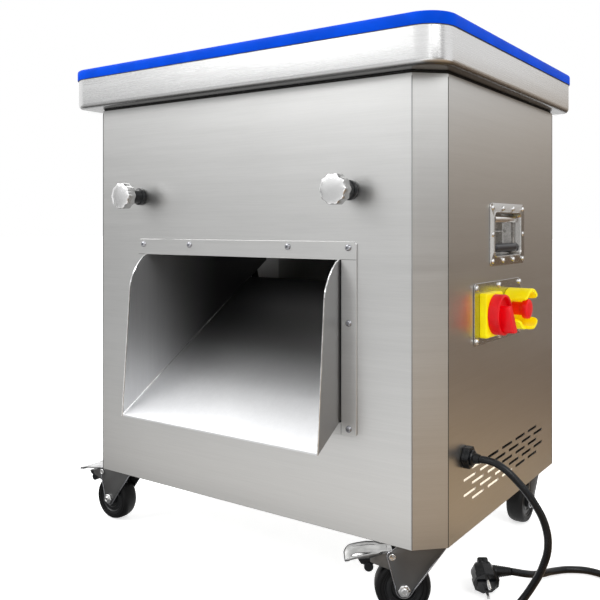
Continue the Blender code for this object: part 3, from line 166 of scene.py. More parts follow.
def brushed(name, colour, roughness, stretch, depth, painted_shades=()):
    """Brushed steel: fine lines and longer streaks along the grain, slow cloudy changes, and any painted shade given
    by place.
    """
    steel = Finish(name, colour, roughness, 1.0)
    grain = steel.noise(900, 3, stretch, 0.7)
    streaks = steel.noise(120, 4, stretch, 0.6)
    clouds = steel.noise(4, 3)
    level = grain * 0.5 + streaks * 0.35 + clouds * 0.15
    shade = steel.mixed(level.clamped(0.3, 0.7), tone(colour, 0.96), tone(colour, 1.04))
    steel.feed(
        Base_Color=steel.painted_shade_by_place(shade, painted_shades),
        Roughness=level * 0.16 + (roughness - 0.08),
        Normal=steel.bump(grain + streaks * 0.5, depth))
    return steel.material


def plated(name, colour, roughness, patch=60):
    """Plated steel: small crystals that change the tone and the gloss."""
    plate = Finish(name, colour, roughness, 1.0)
    spots = plate.noise(patch, 4)
    fine = plate.noise(700, 2)
    plate.feed(
        Base_Color=plate.mixed(spots.clamped(0.35, 0.65), tone(colour, 0.82), tone(colour, 1.1)),
        Roughness=spots * 0.2 + (roughness - 0.1),
        Normal=plate.bump(fine, 0.00003))
    return plate.material


def moulded(name, colour, roughness, depth=0.00004, metallic=0.0, gloss=0.5, painted_shades=(), **sockets):
    """Moulded or painted skin: a fine texture, slight changes of tone, dulled patches, and any painted shade given by
    place.
    """
    skin = Finish(name, colour, roughness, metallic, Specular_IOR_Level=gloss, **sockets)
    pores = skin.noise(1400, 2)
    patches = skin.noise(25, 4)
    shade = skin.mixed(patches.clamped(0.3, 0.7), tone(colour, 0.9), tone(colour, 1.08))
    skin.feed(
        Base_Color=skin.painted_shade_by_place(shade, painted_shades),
        Roughness=patches * 0.14 + pores * 0.06 + (roughness - 0.1),
        Normal=skin.bump(pores + patches * 0.3, depth))
    return skin.material


# Finishes, colours as linear values from the photograph
ALONG_WIDTH = (0.02, 0.02, 1)
UPRIGHT = (1, 1, 0.02)
# Painted shade: tray steel below the rim's underside falls to 16 per cent of its colour; beyond x -0.330 and y 0.2555,
# the left and rear overhangs, it stays at the plain colour.
PAINTED_SHADE_UNDER_TRAY = [("Z", 0.7225, 0.7185, 0.16), ("X", -0.328, -0.330, 1.0), ("Y", 0.2535, 0.2555, 1.0)]
# Painted shade: chute steel at half its colour beyond x 0.1862, the right wall's outer face, and falling to a fifth
# from y -0.27 to -0.07, deeper into the chute.
PAINTED_SHADE_INSIDE_CHUTE = [("X", 0.1855, 0.1862, 0.5), ("Y", -0.27, -0.07, 0.2)]
# Painted shade: the knob head behind its face, towards the panel, at half its colour.
PAINTED_SHADE_BEHIND_KNOB_FACE = [("Y", -0.2984, -0.2978, 0.5)]
steel = brushed("brushed_stainless", (0.62, 0.62, 0.612), 0.32, ALONG_WIDTH, 0.000004)
tray_steel = brushed("tray_stainless", (0.68, 0.68, 0.68), 0.27, ALONG_WIDTH, 0.0000007, PAINTED_SHADE_UNDER_TRAY)
chute_steel = brushed("chute_stainless", (0.73, 0.735, 0.745), 0.46, UPRIGHT, 0.000003, PAINTED_SHADE_INSIDE_CHUTE)
dish_steel = brushed("pressed_stainless", (0.5, 0.49, 0.475), 0.24, ALONG_WIDTH, 0.000006)
chrome = plated("chrome_trim", (0.78, 0.78, 0.78), 0.14, 90)
zinc = plated("zinc_plate", (0.4, 0.405, 0.43), 0.28)
dull_zinc = plated("dull_zinc", (0.2, 0.2, 0.2), 0.35)
# Painted shade: a near-black copy of the fork paint, for the rear castors' forks, which fall in shade.
fork_painted_shade = moulded("fork_painted_shade", (0.02, 0.02, 0.021), 0.42, metallic=0.8)
fork_paint = moulded("fork_paint", (0.15, 0.15, 0.15), 0.38, metallic=0.9)
wheel_rubber = moulded("wheel_rubber", (0.004, 0.004, 0.0045), 0.5, 0.00008, gloss=0.22)
hub_plastic = moulded("hub_plastic", (0.008, 0.0085, 0.0095), 0.36, gloss=0.35)
gear_steel = plated("machined_steel", (0.33, 0.33, 0.34), 0.35)
enamel = moulded("motor_enamel", (0.05, 0.09, 0.12), 0.4)
belt_rubber = moulded("belt_rubber", (0.012, 0.012, 0.012), 0.7)
blue = moulded("blue_edging", (0.0, 0.068, 0.66), 0.45, gloss=0.03)
pale = moulded("pale_knob", (0.84, 0.84, 0.84), 0.2, metallic=1.0, painted_shades=PAINTED_SHADE_BEHIND_KNOB_FACE)
black = moulded("black_plastic", (0.004, 0.005, 0.0065), 0.28, gloss=0.3)
grip_rubber = moulded("grip_rubber", (0.008, 0.010, 0.016), 0.34, gloss=0.5)
cord_rubber = moulded("cord_rubber", (0.0035, 0.0042, 0.0058), 0.27, gloss=0.32)
# The yellow plastic carries a faint painted glow, though it is no lamp.
yellow = moulded("yellow_plastic", (1.0, 0.8, 0.0), 0.36, gloss=0.2,
                 Emission_Color=(1, 0.78, 0, 1), Emission_Strength=0.14)
red = moulded("red_plastic", (0.85, 0.0, 0.006), 0.3, gloss=0.35)
# Near-black, used both for painted shadow lines and for dark joint and seam lines.
shade_line = moulded("shade_line", (0.01, 0.009, 0.008), 0.6)
# Painted light: the louvre lips' cream colour and glow stand for the light seen through the slots.
lip_painted_glow = moulded("louvre_lip", (0.95, 0.83, 0.68), 0.5,
                    Emission_Color=(1, 0.85, 0.66, 1), Emission_Strength=0.6)

# Solids that stay visible
FINISHES = {
    steel: ["base_pan", "front_panel", "rear_panel", "left_panel", "right_panel", "top_plate", "rail_left",
            "rail_right"],
    tray_steel: ["feed_throat"],
    dish_steel: ["knife_shaft_front", "knife_shaft_rear", "scraper_comb_front", "scraper_comb_rear"],
    zinc: [f"castor_plate_{corner}" for corner in ("front_left", "front_right", "rear_left", "rear_right")],
    gear_steel: ["gear_front", "gear_rear", "driven_pulley", "motor_pulley"],
    dull_zinc: ["knife_box"],
    enamel: ["motor"],
    belt_rubber: ["drive_belt"],
}
for material, names in FINISHES.items():
    for name in names:
        node = nodes[name]
        node.data.materials.clear()
        node.data.materials.append(material)


# Grids and shells
def make(name, shells, material, body, replaces=(), sharp=35):
    """One piece from closed shells: each a grid of points, rows by columns, and whether its end rows meet."""
    points, faces, start = [], [], 0
    for grid, ends_meet in shells:
        rows, columns = grid.shape[:2]
        row = np.arange(rows if ends_meet else rows - 1)[:, None]
        column = np.arange(columns)[None, :]
        beside, above = (column + 1) % columns, (row + 1) % rows * columns
        quads = np.stack([row * columns + column, row * columns + beside, above + beside, above + column], -1)
        faces += (quads.reshape(-1, 4) + start).tolist()
        if not ends_meet:
            last = start + (rows - 1) * columns
            faces += [list(range(start, start + columns)), list(range(last, last + columns))]
        points.append(grid.reshape(-1, 3))
        start += rows * columns
    mesh = bpy.data.meshes.new(name)
    mesh.from_pydata(np.vstack(points).tolist(), [], faces)
    work = bmesh.new()
    work.from_mesh(mesh)
    bmesh.ops.remove_doubles(work, verts=work.verts, dist=0.000003)
    bmesh.ops.recalc_face_normals(work, faces=work.faces)
    work.to_mesh(mesh)
    work.free()
    mesh.shade_smooth()
    mesh.set_sharp_from_angle(angle=math.radians(sharp))
    mesh.materials.append(material)
    item = bpy.data.objects.new(name, mesh)
    bpy.context.scene.collection.objects.link(item)
    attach(item, body)
    if replaces:
        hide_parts(*replaces)
    return item


def on_axis(axis, flat, along):
    """Points of the plane across an axis, with their places along it."""
    a, b = flat[..., 0], flat[..., 1]
    return np.stack({"X": (along, a, b), "Y": (a, along, b), "Z": (a, b, along)}[axis], -1)


def stacked(rows, axis):
    """Grid from rows of (outline, place along the axis)."""
    flat = np.array([outline for outline, _ in rows], float)
    along = np.array([place for _, place in rows], float)[:, None]
    return on_axis(axis, flat, np.broadcast_to(along, flat.shape[:2]))


def rounded(width, height, radius, centre=(0, 0), steps=8):
    """Rectangle with arcs for corners, anticlockwise."""
    turn = np.radians(np.arange(4)[:, None] * 90 + np.linspace(0, 90, steps + 1))
    sides = np.array([(1, 1), (-1, 1), (-1, -1), (1, -1)])[:, None, :] * (width / 2 - radius, height / 2 - radius)
    return (sides + radius * np.stack([np.cos(turn), np.sin(turn)], -1)).reshape(-1, 2) + centre


def arc(centre, radius, start, end, steps):
    """Points of an arc between two angles in degrees."""
    turn = np.radians(np.linspace(start, end, steps + 1))
    return [tuple(point) for point in np.stack([np.cos(turn), np.sin(turn)], -1) * radius + centre]


def inset(outline, distance):
    """Anticlockwise outline moved inwards: each corner slides along the mean of its two edges' normals."""
    outline = np.asarray(outline, float)
    way = np.roll(outline, -1, 0) - outline
    way /= np.linalg.norm(way, axis=1, keepdims=True)
    normal = np.stack([-way[:, 1], way[:, 0]], -1)
    before = np.roll(normal, 1, 0)
    return outline + (normal + before) / (1 + (normal * before).sum(1, keepdims=True)) * distance


def slab(outline, axis, low, high, edge=0.0004):
    """Plate with an anticlockwise outline and broken edges."""
    outline = np.asarray(outline, float)
    small = inset(outline, edge)
    return stacked([(small, low), (outline, low + edge), (outline, high - edge), (small, high)], axis), False


def block(low, high, edge):
    """Box between two corners, its upright edges sharp and its ends broken."""
    (x0, y0, z0), (x1, y1, z1) = low, high
    return slab([(x0, y0), (x1, y0), (x1, y1), (x0, y1)], "Z", z0, z1, edge)


def turned(profile, axis, centre, count=48, lobes=0, depth=0.0, ends_meet=False):
    """Surface of revolution through (radius, place along the axis); lobes scallop the radius by a cosine."""
    profile = np.asarray(profile, float)
    turn = (np.arange(count) + 0.5) * 2 * math.pi / count
    radius = profile[:, :1] * (1 - depth * (1 - np.cos(lobes * turn)) / 2)
    flat = np.stack([radius * np.cos(turn), radius * np.sin(turn)], -1)
    along = np.broadcast_to(profile[:, 1:], flat.shape[:2])
    return on_axis(axis, flat, along) + np.asarray(centre, float), ends_meet


def rod(radius, axis, centre, low, high, count=24, edge=0.0004):
    """Round bar with broken edges."""
    return turned([(radius - edge, low), (radius, low + edge), (radius, high - edge), (radius - edge, high)],
                  axis, centre, count)


def carried(path, radius, count=8):
    """Round section carried along a path, square to the way from each point's neighbour to the next."""
    path = np.asarray(path, float)
    way = np.gradient(path, axis=0)
    way /= np.linalg.norm(way, axis=1, keepdims=True)
    side = np.cross(way, (0.19, 0.23, 0.95))
    side /= np.linalg.norm(side, axis=1, keepdims=True)
    up = np.cross(side, way)
    turn = (np.arange(count) * 2 * math.pi / count)[None, :, None]
    return path[:, None] + radius * (np.cos(turn) * side[:, None] + np.sin(turn) * up[:, None]), False


def dome(radius, height, axis, centre):
    """Rivet head: its radius falls by a cosine as it rises by a sine."""
    turn = np.radians([0, 18, 36, 54, 72, 87])
    rise = height * (0.2 + 0.8 * np.sin(turn))
    return turned([(radius, 0), *zip(radius * np.cos(turn), rise)], axis, centre, 20)


def socket_head(radius, height, axis, centre, outward=1):
    """Button screw: up its dome, over the lip and down into a socket."""
    turn = np.radians([0, 20, 40, 58])
    rise = height * (0.3 + 0.7 * np.sin(turn) / math.sin(turn[-1]))
    profile = [(radius, 0), *zip(radius * np.cos(turn), rise), (radius * 0.42, height * 0.98),
               (radius * 0.38, height * 0.3), (radius * 0.05, height * 0.25)]
    return turned([(r, outward * h) for r, h in profile], axis, centre, 24)


def moved(shells, origin, turn):
    """Shells turned by an angle in degrees about the vertical and then moved."""
    c, s = math.cos(math.radians(turn)), math.sin(math.radians(turn))
    matrix = np.array([(c, s, 0), (-s, c, 0), (0, 0, 1)])
    return [(grid @ matrix + np.asarray(origin, float), ends_meet) for grid, ends_meet in shells]


def flipped(shells, factor):
    """Shells mirrored by a factor of 1 or -1 for each axis."""
    return [(grid * np.asarray(factor, float), ends_meet) for grid, ends_meet in shells]


# Sizes shared with the solids
GAP = 0.0003
HALF_W, HALF_D, CORNER_CUT = 0.3295, 0.253, 0.035
SKIN = 0.0015
PANEL_BOTTOM, PANEL_TOP = 0.0995, 0.710
TRAY_W, TRAY_D, TRAY_CORNER = 0.700, 0.562, 0.040
KNOB_X, KNOB_Z = 0.202, 0.565
CASTOR_X, CASTOR_Y = 0.285, 0.209
SWITCH_MIDDLE = (-0.0425, 0.3925)
ISOLATOR_MIDDLE = (-0.0855, 0.3905)
STOP_HEIGHT = 0.392


# Feed tray
def tray_row(shift, z):
    """The tray's plan moved inwards, with its height."""
    return rounded(TRAY_W - 2 * shift, TRAY_D - 2 * shift, TRAY_CORNER - shift, steps=18), z


def tray():
    """Pressed pan: up the rounded outside, over the rim, down the inside and in to the throat's hole."""
    floor, middle, rim, fillet = 0.717, 0.745, 0.7812, 0.008
    inner = fillet - SKIN
    turn = np.radians(np.linspace(0, 90, 9))
    hole = rounded(0.3046, 0.1246, 0.001, (0, -0.060), 18)
    rows = [(hole, floor)]
    rows += [tray_row(fillet * (1 - math.sin(t)), floor + fillet * (1 - math.cos(t))) for t in turn]
    rows += [tray_row(0, middle), tray_row(0, rim), tray_row(SKIN, rim), tray_row(SKIN, middle)]
    rows += [tray_row(SKIN + inner * (1 - math.sin(t)), floor + SKIN + inner * (1 - math.cos(t)))
             for t in turn[::-1]]
    rows += [(hole, floor + SKIN)]
    make("tray_pan", [(stacked(rows, "Z"), True)], tray_steel, "cabinet", ["feed_tray"], 50)
    wall, crown, lower = 0.0018, 0.7833, 0.7669
    outer, inside = -GAP - wall, SKIN + GAP + wall
    rows = [(-GAP, lower), (outer + 0.0005, lower), (outer, lower + 0.0006), (outer, crown - 0.0045),
            (outer + 0.0003, crown - 0.0025), (outer + 0.0010, crown - 0.0010), (outer + 0.0020, crown - 0.0002),
            (SKIN / 2, crown), (inside - 0.0020, crown - 0.0002), (inside - 0.0010, crown - 0.0010),
            (inside - 0.0003, crown - 0.0025), (inside, crown - 0.0045), (inside, crown - 0.012),
            (SKIN + GAP, crown - 0.012), (SKIN + GAP, crown - 0.0018), (-GAP, crown - 0.0018)]
    make("edging_strip", [(stacked([tray_row(*row) for row in rows], "Z"), True)], blue, "cabinet",
         ["tray_edging"], 50)


# Cabinet trim
def plan(shift):
    """The cabinet's plan moved inwards, its corners cut at 45 degrees."""
    w, d, c = HALF_W, HALF_D, CORNER_CUT
    corners = [(w, d - c), (w - c, d), (c - w, d), (-w, d - c), (-w, c - d), (c - w, -d), (w - c, -d), (w, c - d)]
    return inset(corners, shift)


def trim():
    """Near-black bands as painted shadow under the tray and along the foot under the panels, corner folds and joint
    lines.
    """
    bands = [[(plan(near), low), (plan(near), high), (plan(far), high), (plan(far), low)]
             for near, far, low, high in ((0.0020, 0.0040, PANEL_TOP, 0.7166),
                                          (0.0004, 0.0060, PANEL_BOTTOM - 0.0005, PANEL_BOTTOM + 0.0004),
                                          (0.0, 0.0020, PANEL_TOP + 0.0001, 0.7140))]
    # Painted shadow: near-black bands in the gap under the tray and along the panels' foot.
    make("cabinet_painted_shadow_bands", [(stacked(band, "Z"), True) for band in bands[:2]], shade_line, "cabinet")
    make("cabinet_top_fold", [(stacked(bands[2], "Z"), True)], steel, "cabinet")
    under = [tray_row(*row) for row in ((0, 0.7663), (-0.0012, 0.7663), (-0.0012, 0.7668), (0, 0.7668))]
    make("edging_shadow", [(stacked(under, "Z"), True)], shade_line, "cabinet")
    folds = [rod(0.0009, "Z", (sx * (HALF_W - CORNER_CUT), sy * (HALF_D - 0.0005), 0), PANEL_BOTTOM + 0.001,
                 PANEL_TOP, 12, 0.0001) for sx in (-1, 1) for sy in (-1, 1)]
    # Painted shade: the left folds are near-black, on the side away from the light; the right folds are chute steel.
    make("corner_folds", folds[2:], chute_steel, "cabinet")
    make("left_folds_painted_shade", folds[:2], shade_line, "cabinet")
    edge = HALF_D - CORNER_CUT
    lines = [rod(0.0005, "Z", (sx * (HALF_W - 0.0001), sy * edge, 0), PANEL_BOTTOM, PANEL_TOP, 8, 0.0001)
             for sx in (-1, 1) for sy in (-1, 1)]
    make("corner_joints", lines, shade_line, "cabinet")


# Outlet
def outlet():
    """Frame with the seams between its strips, its screws, and the chute with its welded seams."""
    face = -HALF_D - GAP
    front = face - 0.002
    left, right, low, high = -0.205, 0.2135, 0.2328, 0.4956
    mouth, head = 0.1892, 0.4706
    points = np.array([vertex.co[:] for vertex in nodes["chute_flange"].data.vertices])
    sill = points[(np.abs(points[:, 0]) < 0.1893) & (points[:, 2] < 0.35), 2].max()
    middle = ((left + right) / 2, (low + high) / 2)
    outside = rounded(right - left, high - low, 0.005, middle, 8)
    inside = rounded(2 * mouth, head - sill, 0.0004, (0, (head + sill) / 2), 8)
    rows = [(inside, face), (outside, face), (outside, front + 0.0004), (inset(outside, 0.0004), front),
            (inset(inside, -0.0004), front), (inside, front + 0.0004)]
    make("outlet_frame", [(stacked(rows, "Y"), True)], steel, "cabinet", ["chute_flange"])
    seam = (front - 0.00015, front + 0.0001)
    strips = [((mouth + 0.0004, seam[0], head), (right - 0.0004, seam[1], head + 0.0006)),
              ((left + 0.0004, seam[0], head), (-mouth - 0.0004, seam[1], head + 0.0006)),
              ((mouth - 0.0004, seam[0], sill - 0.0006), (mouth + 0.0002, seam[1], low + 0.0004))]
    make("frame_seams", [block(np.minimum(a, b), np.maximum(a, b), 0.00004) for a, b in strips], shade_line,
         "cabinet")
    places = [(x, front, high - 0.0085) for x in (-0.193, -0.091, 0.0995, 0.2006)]
    places += [(x, front, z) for z in (0.385, 0.242) for x in ((mouth + right) / 2, (left - mouth) / 2)]
    make("frame_screws", [socket_head(0.0046, 0.003, "Y", place, -1) for place in places], zinc, "cabinet",
         sharp=30)
    chute()


def chute():
    """Two walls whose upper front corner bends by powers of a sine and a cosine, the sloping floor and the beads."""
    tip, slope, half = (-0.308, 0.2185), 0.626, 0.1865
    back, floor_end, top = 0.065, 0.013, 0.4703
    bend_start, bend_depth, bend_height, fullness = -0.2535, 0.0385, 0.052, 1.3
    drop = 0.002 * math.hypot(1, slope)

    def line(y):
        return tip[1] + (y - tip[0]) * slope

    wall = [(tip[0], tip[1] - drop), (back, line(back) - drop), (back, top),
            *((bend_start - bend_depth * math.cos(t) ** fullness,
               top - bend_height * (1 - math.sin(t) ** fullness)) for t in np.radians(np.linspace(89.9, 0, 19)))]
    floor = [(tip[0], tip[1] - drop), (floor_end, line(floor_end) - drop), (floor_end, line(floor_end)), tip]
    walls = [slab(wall, "X", half - SKIN, half, 0.0003), slab(wall, "X", -half, SKIN - half, 0.0003)]
    make("chute_sheets", walls + [slab(floor, "X", SKIN - half - 0.0002, half - SKIN + 0.0002, 0.0003)],
         chute_steel, "cabinet", ["chute"], 30)
    run = np.array([0, floor_end - tip[0], line(floor_end) - tip[1]])
    beads = []
    for side in (-1, 1):
        grid, _ = turned([(0.0006, 0.0), (0.0009, 0.002), (0.0009, 0.998), (0.0006, 1.0)], "Z", (0, 0, 0), 10)
        start = np.array([side * (half - SKIN - 0.0003), tip[0], tip[1] + 0.0003])
        across = np.array([0, -run[2], run[1]]) / np.linalg.norm(run)
        beads.append((start + grid[..., :1] * (1, 0, 0) + grid[..., 1:2] * across + grid[..., 2:] * run, False))
    # Beads along each wall's front edge: real rounded edges, made bright chrome as a painted highlight on the chute
    # steel.
    for side in (-1, 1):
        x = side * (half - SKIN / 2)
        edge = np.array([wall[0], *wall[:3:-1], wall[3]])
        beads.append(carried(np.stack([np.full(len(edge), x), edge[:, 0], edge[:, 1]], -1), 0.0010))
    make("chute_beads", beads, chrome, "cabinet")


# Star knobs
def star_knobs():
    """Ten flutes scallop the rim by a cosine and fade out towards the domed face; a long collar stands behind."""
    back = -HALF_D - 0.0285
    rim = [(0.0196, 0.0008), (0.0206, 0.0016), (0.0212, 0.0030), (0.0213, 0.0150), (0.0209, 0.0161),
           (0.0203, 0.0168)]
    cap = [(0.0196, 0.0173, 0.06), (0.0180, 0.0177, 0.03), (0.0135, 0.0182, 0.01), (0.0070, 0.0185, 0),
           (0.0005, 0.0186, 0)]
    collar = [(0.0043, 0.0), (0.0132, 0.0), (0.0138, 0.0008), (0.0138, 0.0050), (0.0130, 0.0060),
              (0.0116, 0.0066), (0.0114, 0.0250), (0.0112, 0.0278), (0.0043, 0.0278)]
    for side, x in (("left", -KNOB_X), ("right", KNOB_X)):
        centre = (x, 0, KNOB_Z)
        stud = turned([(0.004, -0.241), (0.004, back), (0.0105, back), (0.0125, back - 0.0008)], "Y", centre, 100)[0]
        flutes = turned([(r, back - h) for r, h in rim], "Y", centre, 100, 10, 0.085)[0]
        rows = [turned([(r, back - h)], "Y", centre, 100, 10, depth)[0] for r, h, depth in cap]
        make(f"knob_head_{side}", [(np.concatenate([stud, flutes, *rows]), False)], pale, f"knob_{side}",
             [f"star_knob_{side}"], 30)
        shell = turned([(r, -HALF_D - GAP - h) for r, h in collar], "Y", centre, 48, ends_meet=True)
        make(f"knob_spacer_{side}", [shell], black, f"knob_thread_{side}", [f"knob_collar_{side}"])


# Castors
FORK_TOP = 0.0987
PIVOT = (0.040, 0.082)
AXLE = (0.024, 0.0375)


def bolt_end(radius, start, height, sign, x, z):
    """Bolt end with a raised rim round a dished middle."""
    profile = [(radius, start), (radius, start + height - 0.0004), (radius * 0.88, start + height),
               (radius * 0.66, start + height), (radius * 0.55, start + height - 0.0008),
               (radius * 0.05, start + height - 0.0010)]
    return turned([(r, sign * y) for r, y in profile], "Y", (x, 0, z), 32)


def fork_cheek(ear):
    """Pressed cheek: each level runs from one edge of the outline to the other, turned in near both by a power."""
    lowest = ear[:, 1].argmin()
    left, right = ear[:lowest + 1][::-1], ear[lowest:]
    z = np.linspace(ear[:, 1].min() + 0.0002, ear[:, 1].max(), 40)[:, None]
    x0 = np.interp(z, left[:, 1], left[:, 0])
    x1 = np.interp(z, right[:, 1], right[:, 0])
    share = np.linspace(-1, 1, 17)[None, :]
    x = (x0 + x1) / 2 + (x1 - x0) / 2 * share
    low = np.clip((z - z[0]) / 0.004, 0, 1)
    outer = 0.0190 - 0.0016 * (0.75 * np.abs(share) ** 4 + 0.25 * share ** 2) - 0.0012 * (1 - low) ** 2
    high = np.broadcast_to(z, x.shape)
    skin = np.stack([x, outer, high], -1)
    lining = np.stack([x, np.full(x.shape, 0.0165), high], -1)[:, ::-1]
    return np.concatenate([skin, lining], 1), False


def castor(corner, x, y, turn, side):
    """Stamped fork, axle nuts, ribbed tyre and hub; a castor with a side carries a brake pedal."""
    origin, top, skirt = (x, y, 0), FORK_TOP - 0.004, FORK_TOP - 0.006
    rear, front = -0.031, 0.0335
    lug = arc(PIVOT, 0.0065, -30, 80, 8) if side else [(front, skirt)]
    ear = [(rear, top), (rear, skirt), *arc(AXLE, 0.0105, 205, 350, 16), *lug, (front, top)]
    half, bend, sheet = 0.0191, 0.004, 0.0026
    outside = [*arc((half - bend, top), bend, 0, 90, 6), *arc((bend - half, top), bend, 90, 180, 6)]
    inside = [*arc((bend - half, top), bend - sheet, 180, 90, 4), *arc((half - bend, top), bend - sheet, 90, 0, 4)]
    crown = [(half, skirt), *outside, (-half, skirt), (sheet - half, skirt), *inside, (half - sheet, skirt)]
    cheek = fork_cheek(np.array(ear))
    fork = [cheek, *flipped([cheek], (1, -1, 1)), slab(crown, "X", rear, front, 0.0003)]
    # The rear forks take the painted-shade copy of the fork paint.
    make(f"castor_fork_{corner}", moved(fork, origin, turn), fork_paint if side else fork_painted_shade,
         f"castor_{corner}", [f"fork_{corner}"])
    # Beads along the cheeks' edges: real rounded edges, in zinc lighter than the fork paint as a painted highlight.
    edge = np.array(ear[1:])
    bead = carried(np.stack([edge[:, 0], np.full(len(edge), 0.0180), edge[:, 1]], -1), 0.0008)
    make(f"castor_edges_{corner}", moved([bead, *flipped([bead], (1, -1, 1))], origin, turn), zinc,
         f"castor_{corner}")
    bolts = [rod(0.0038, "Y", (AXLE[0], 0, AXLE[1]), -0.0195, 0.0195)]
    for sign in (-1, 1):
        nut = [(0.0078, 0.0191), (0.0082, 0.0196), (0.0082, 0.0216), (0.0072, 0.0224), (0.0045, 0.0226)]
        bolts.append(turned([(r, sign * h) for r, h in nut], "Y", (AXLE[0], 0, AXLE[1]), 24, 6, 0.10))
        bolts.append(bolt_end(0.0046, 0.0222, 0.0030, sign, *AXLE))
        if side:
            bolts.append(bolt_end(0.0045, 0.0190, 0.0028, sign, *PIVOT))
    make(f"castor_bolts_{corner}", moved(bolts, origin, turn), chrome, f"castor_{corner}")
    half_tyre = [(0.0258, 0.0122), (0.0262, 0.0130), (0.0275, 0.0136), (0.0298, 0.0139), (0.0303, 0.0132),
                 (0.0309, 0.0132), (0.0313, 0.0140), (0.0330, 0.0140), (0.0346, 0.0131), (0.0360, 0.0110),
                 (0.0370, 0.0078), (0.0375, 0.0035)]
    half_hub = [(0.0043, 0.0159), (0.0100, 0.0159), (0.0108, 0.0152), (0.0112, 0.0106), (0.0152, 0.0104),
                (0.0158, 0.0118), (0.0164, 0.0124), (0.0176, 0.0124), (0.0184, 0.0114), (0.0225, 0.0106),
                (0.0236, 0.0112), (0.0244, 0.0121), (0.0255, 0.0121)]
    for name, half_profile, material, slot in (("tyre", half_tyre, wheel_rubber, "wheel_tyre"),
                                               ("hub", half_hub, hub_plastic, "wheel_hub")):
        profile = half_profile + [(r, -h) for r, h in half_profile[::-1]]
        shell = turned(profile, "Y", (AXLE[0], 0, AXLE[1]), 64, ends_meet=True)
        make(f"wheel_{name}_{corner}", moved([shell], origin, turn), material, f"wheel_{corner}",
             [f"{name}_{corner}"], 28)
    if side:
        pedal(corner, side, origin, turn)


def pedal(corner, side, origin, turn):
    """Pedal plate whose width, fall and rising edges are functions of the distance along it."""
    share = np.linspace(0.04, 1, 40)[:, None]
    across = np.linspace(-1, 1, 25)[None, :]
    half = 0.0225 * np.interp(share, [0, 0.07, 0.2, 0.3, 0.5, 0.86, 0.95, 1.0],
                              [0.5, 0.56, 0.62, 0.88, 1.0, 1.0, 0.9, 0.62])
    fall = -0.0065 * share - 0.0045 * np.clip((share - 0.86) / 0.14, 0, 1) ** 2
    rise = 0.0030 * np.sin(math.pi * np.clip(share, 0, 0.93)) * np.abs(across) ** 5
    swell = 0.0022 / (1 + (np.abs(share - 0.58) / 0.27) ** 8) / (1 + (np.abs(across) / 0.62) ** 8)
    x = np.broadcast_to(PIVOT[0] + 0.061 * share, rise.shape)
    upper = np.stack([x, half * across, PIVOT[1] + 0.0042 + fall + rise + swell], -1)
    lower = (upper - (0, 0, 0.0016))[:, ::-1]
    plate = (np.concatenate([upper, lower], 1), False)
    barrel = turned([(0.0033, -0.0152), (0.0060, -0.0152), (0.0064, -0.0148), (0.0064, 0.0148), (0.0060, 0.0152),
                     (0.0033, 0.0152)], "Y", (PIVOT[0], 0, PIVOT[1]), 28, ends_meet=True)
    rim = np.concatenate([upper[:, 0], upper[-1, 1:-1], upper[::-1, -1]]) - (0, 0, 0.0010)
    make(f"pedal_rim_{corner}", moved([carried(rim, 0.0013)], origin, turn), dull_zinc, f"brake_{side}")
    make(f"pedal_plate_{corner}", moved([plate, barrel], origin, turn), chrome, f"brake_{side}",
         [f"brake_pedal_{corner}"], 40)
    cheek = np.array([*arc((0, 0), 0.0068, 60, 200, 10), (-0.004, -0.013), (0.001, -0.0195), (0.024, -0.0105),
                      (0.0285, -0.008), (0.0285, -0.003)]) + PIVOT
    lead = math.radians(16) + math.atan2(AXLE[1] - PIVOT[1], AXLE[0] - PIVOT[0])
    along = np.array([math.cos(lead), math.sin(lead)])
    beside = np.array([-along[1], along[0]]) * 0.0024
    near, far = along * 0.0045 + PIVOT, along * 0.0083 + PIVOT
    shoe = slab([near + beside, far + beside, far - beside, near - beside][::-1], "Y", -0.0122, 0.0122)
    pad = turned([(0.0050, -0.0130), (0.0062, -0.0120), (0.0062, 0.0120), (0.0050, 0.0130)], "Y",
                 (PIVOT[0] + 0.030, 0, PIVOT[1] - 0.0165), 28)
    web = slab([(PIVOT[0] + 0.006, PIVOT[1] - 0.003), (PIVOT[0] + 0.027, PIVOT[1] - 0.015),
                (PIVOT[0] + 0.040, PIVOT[1] - 0.013), (PIVOT[0] + 0.044, PIVOT[1] - 0.007)], "Y", -0.0110, 0.0110)
    cheeks = [slab(cheek, "Y", 0.0146, 0.0159, 0.0005), slab(cheek, "Y", -0.0159, -0.0146, 0.0005)]
    make(f"pedal_cheeks_{corner}", moved(cheeks, origin, turn), dull_zinc, f"brake_{side}")
    make(f"brake_shoe_{corner}", moved([shoe, pad, web], origin, turn), black, f"brake_{side}")


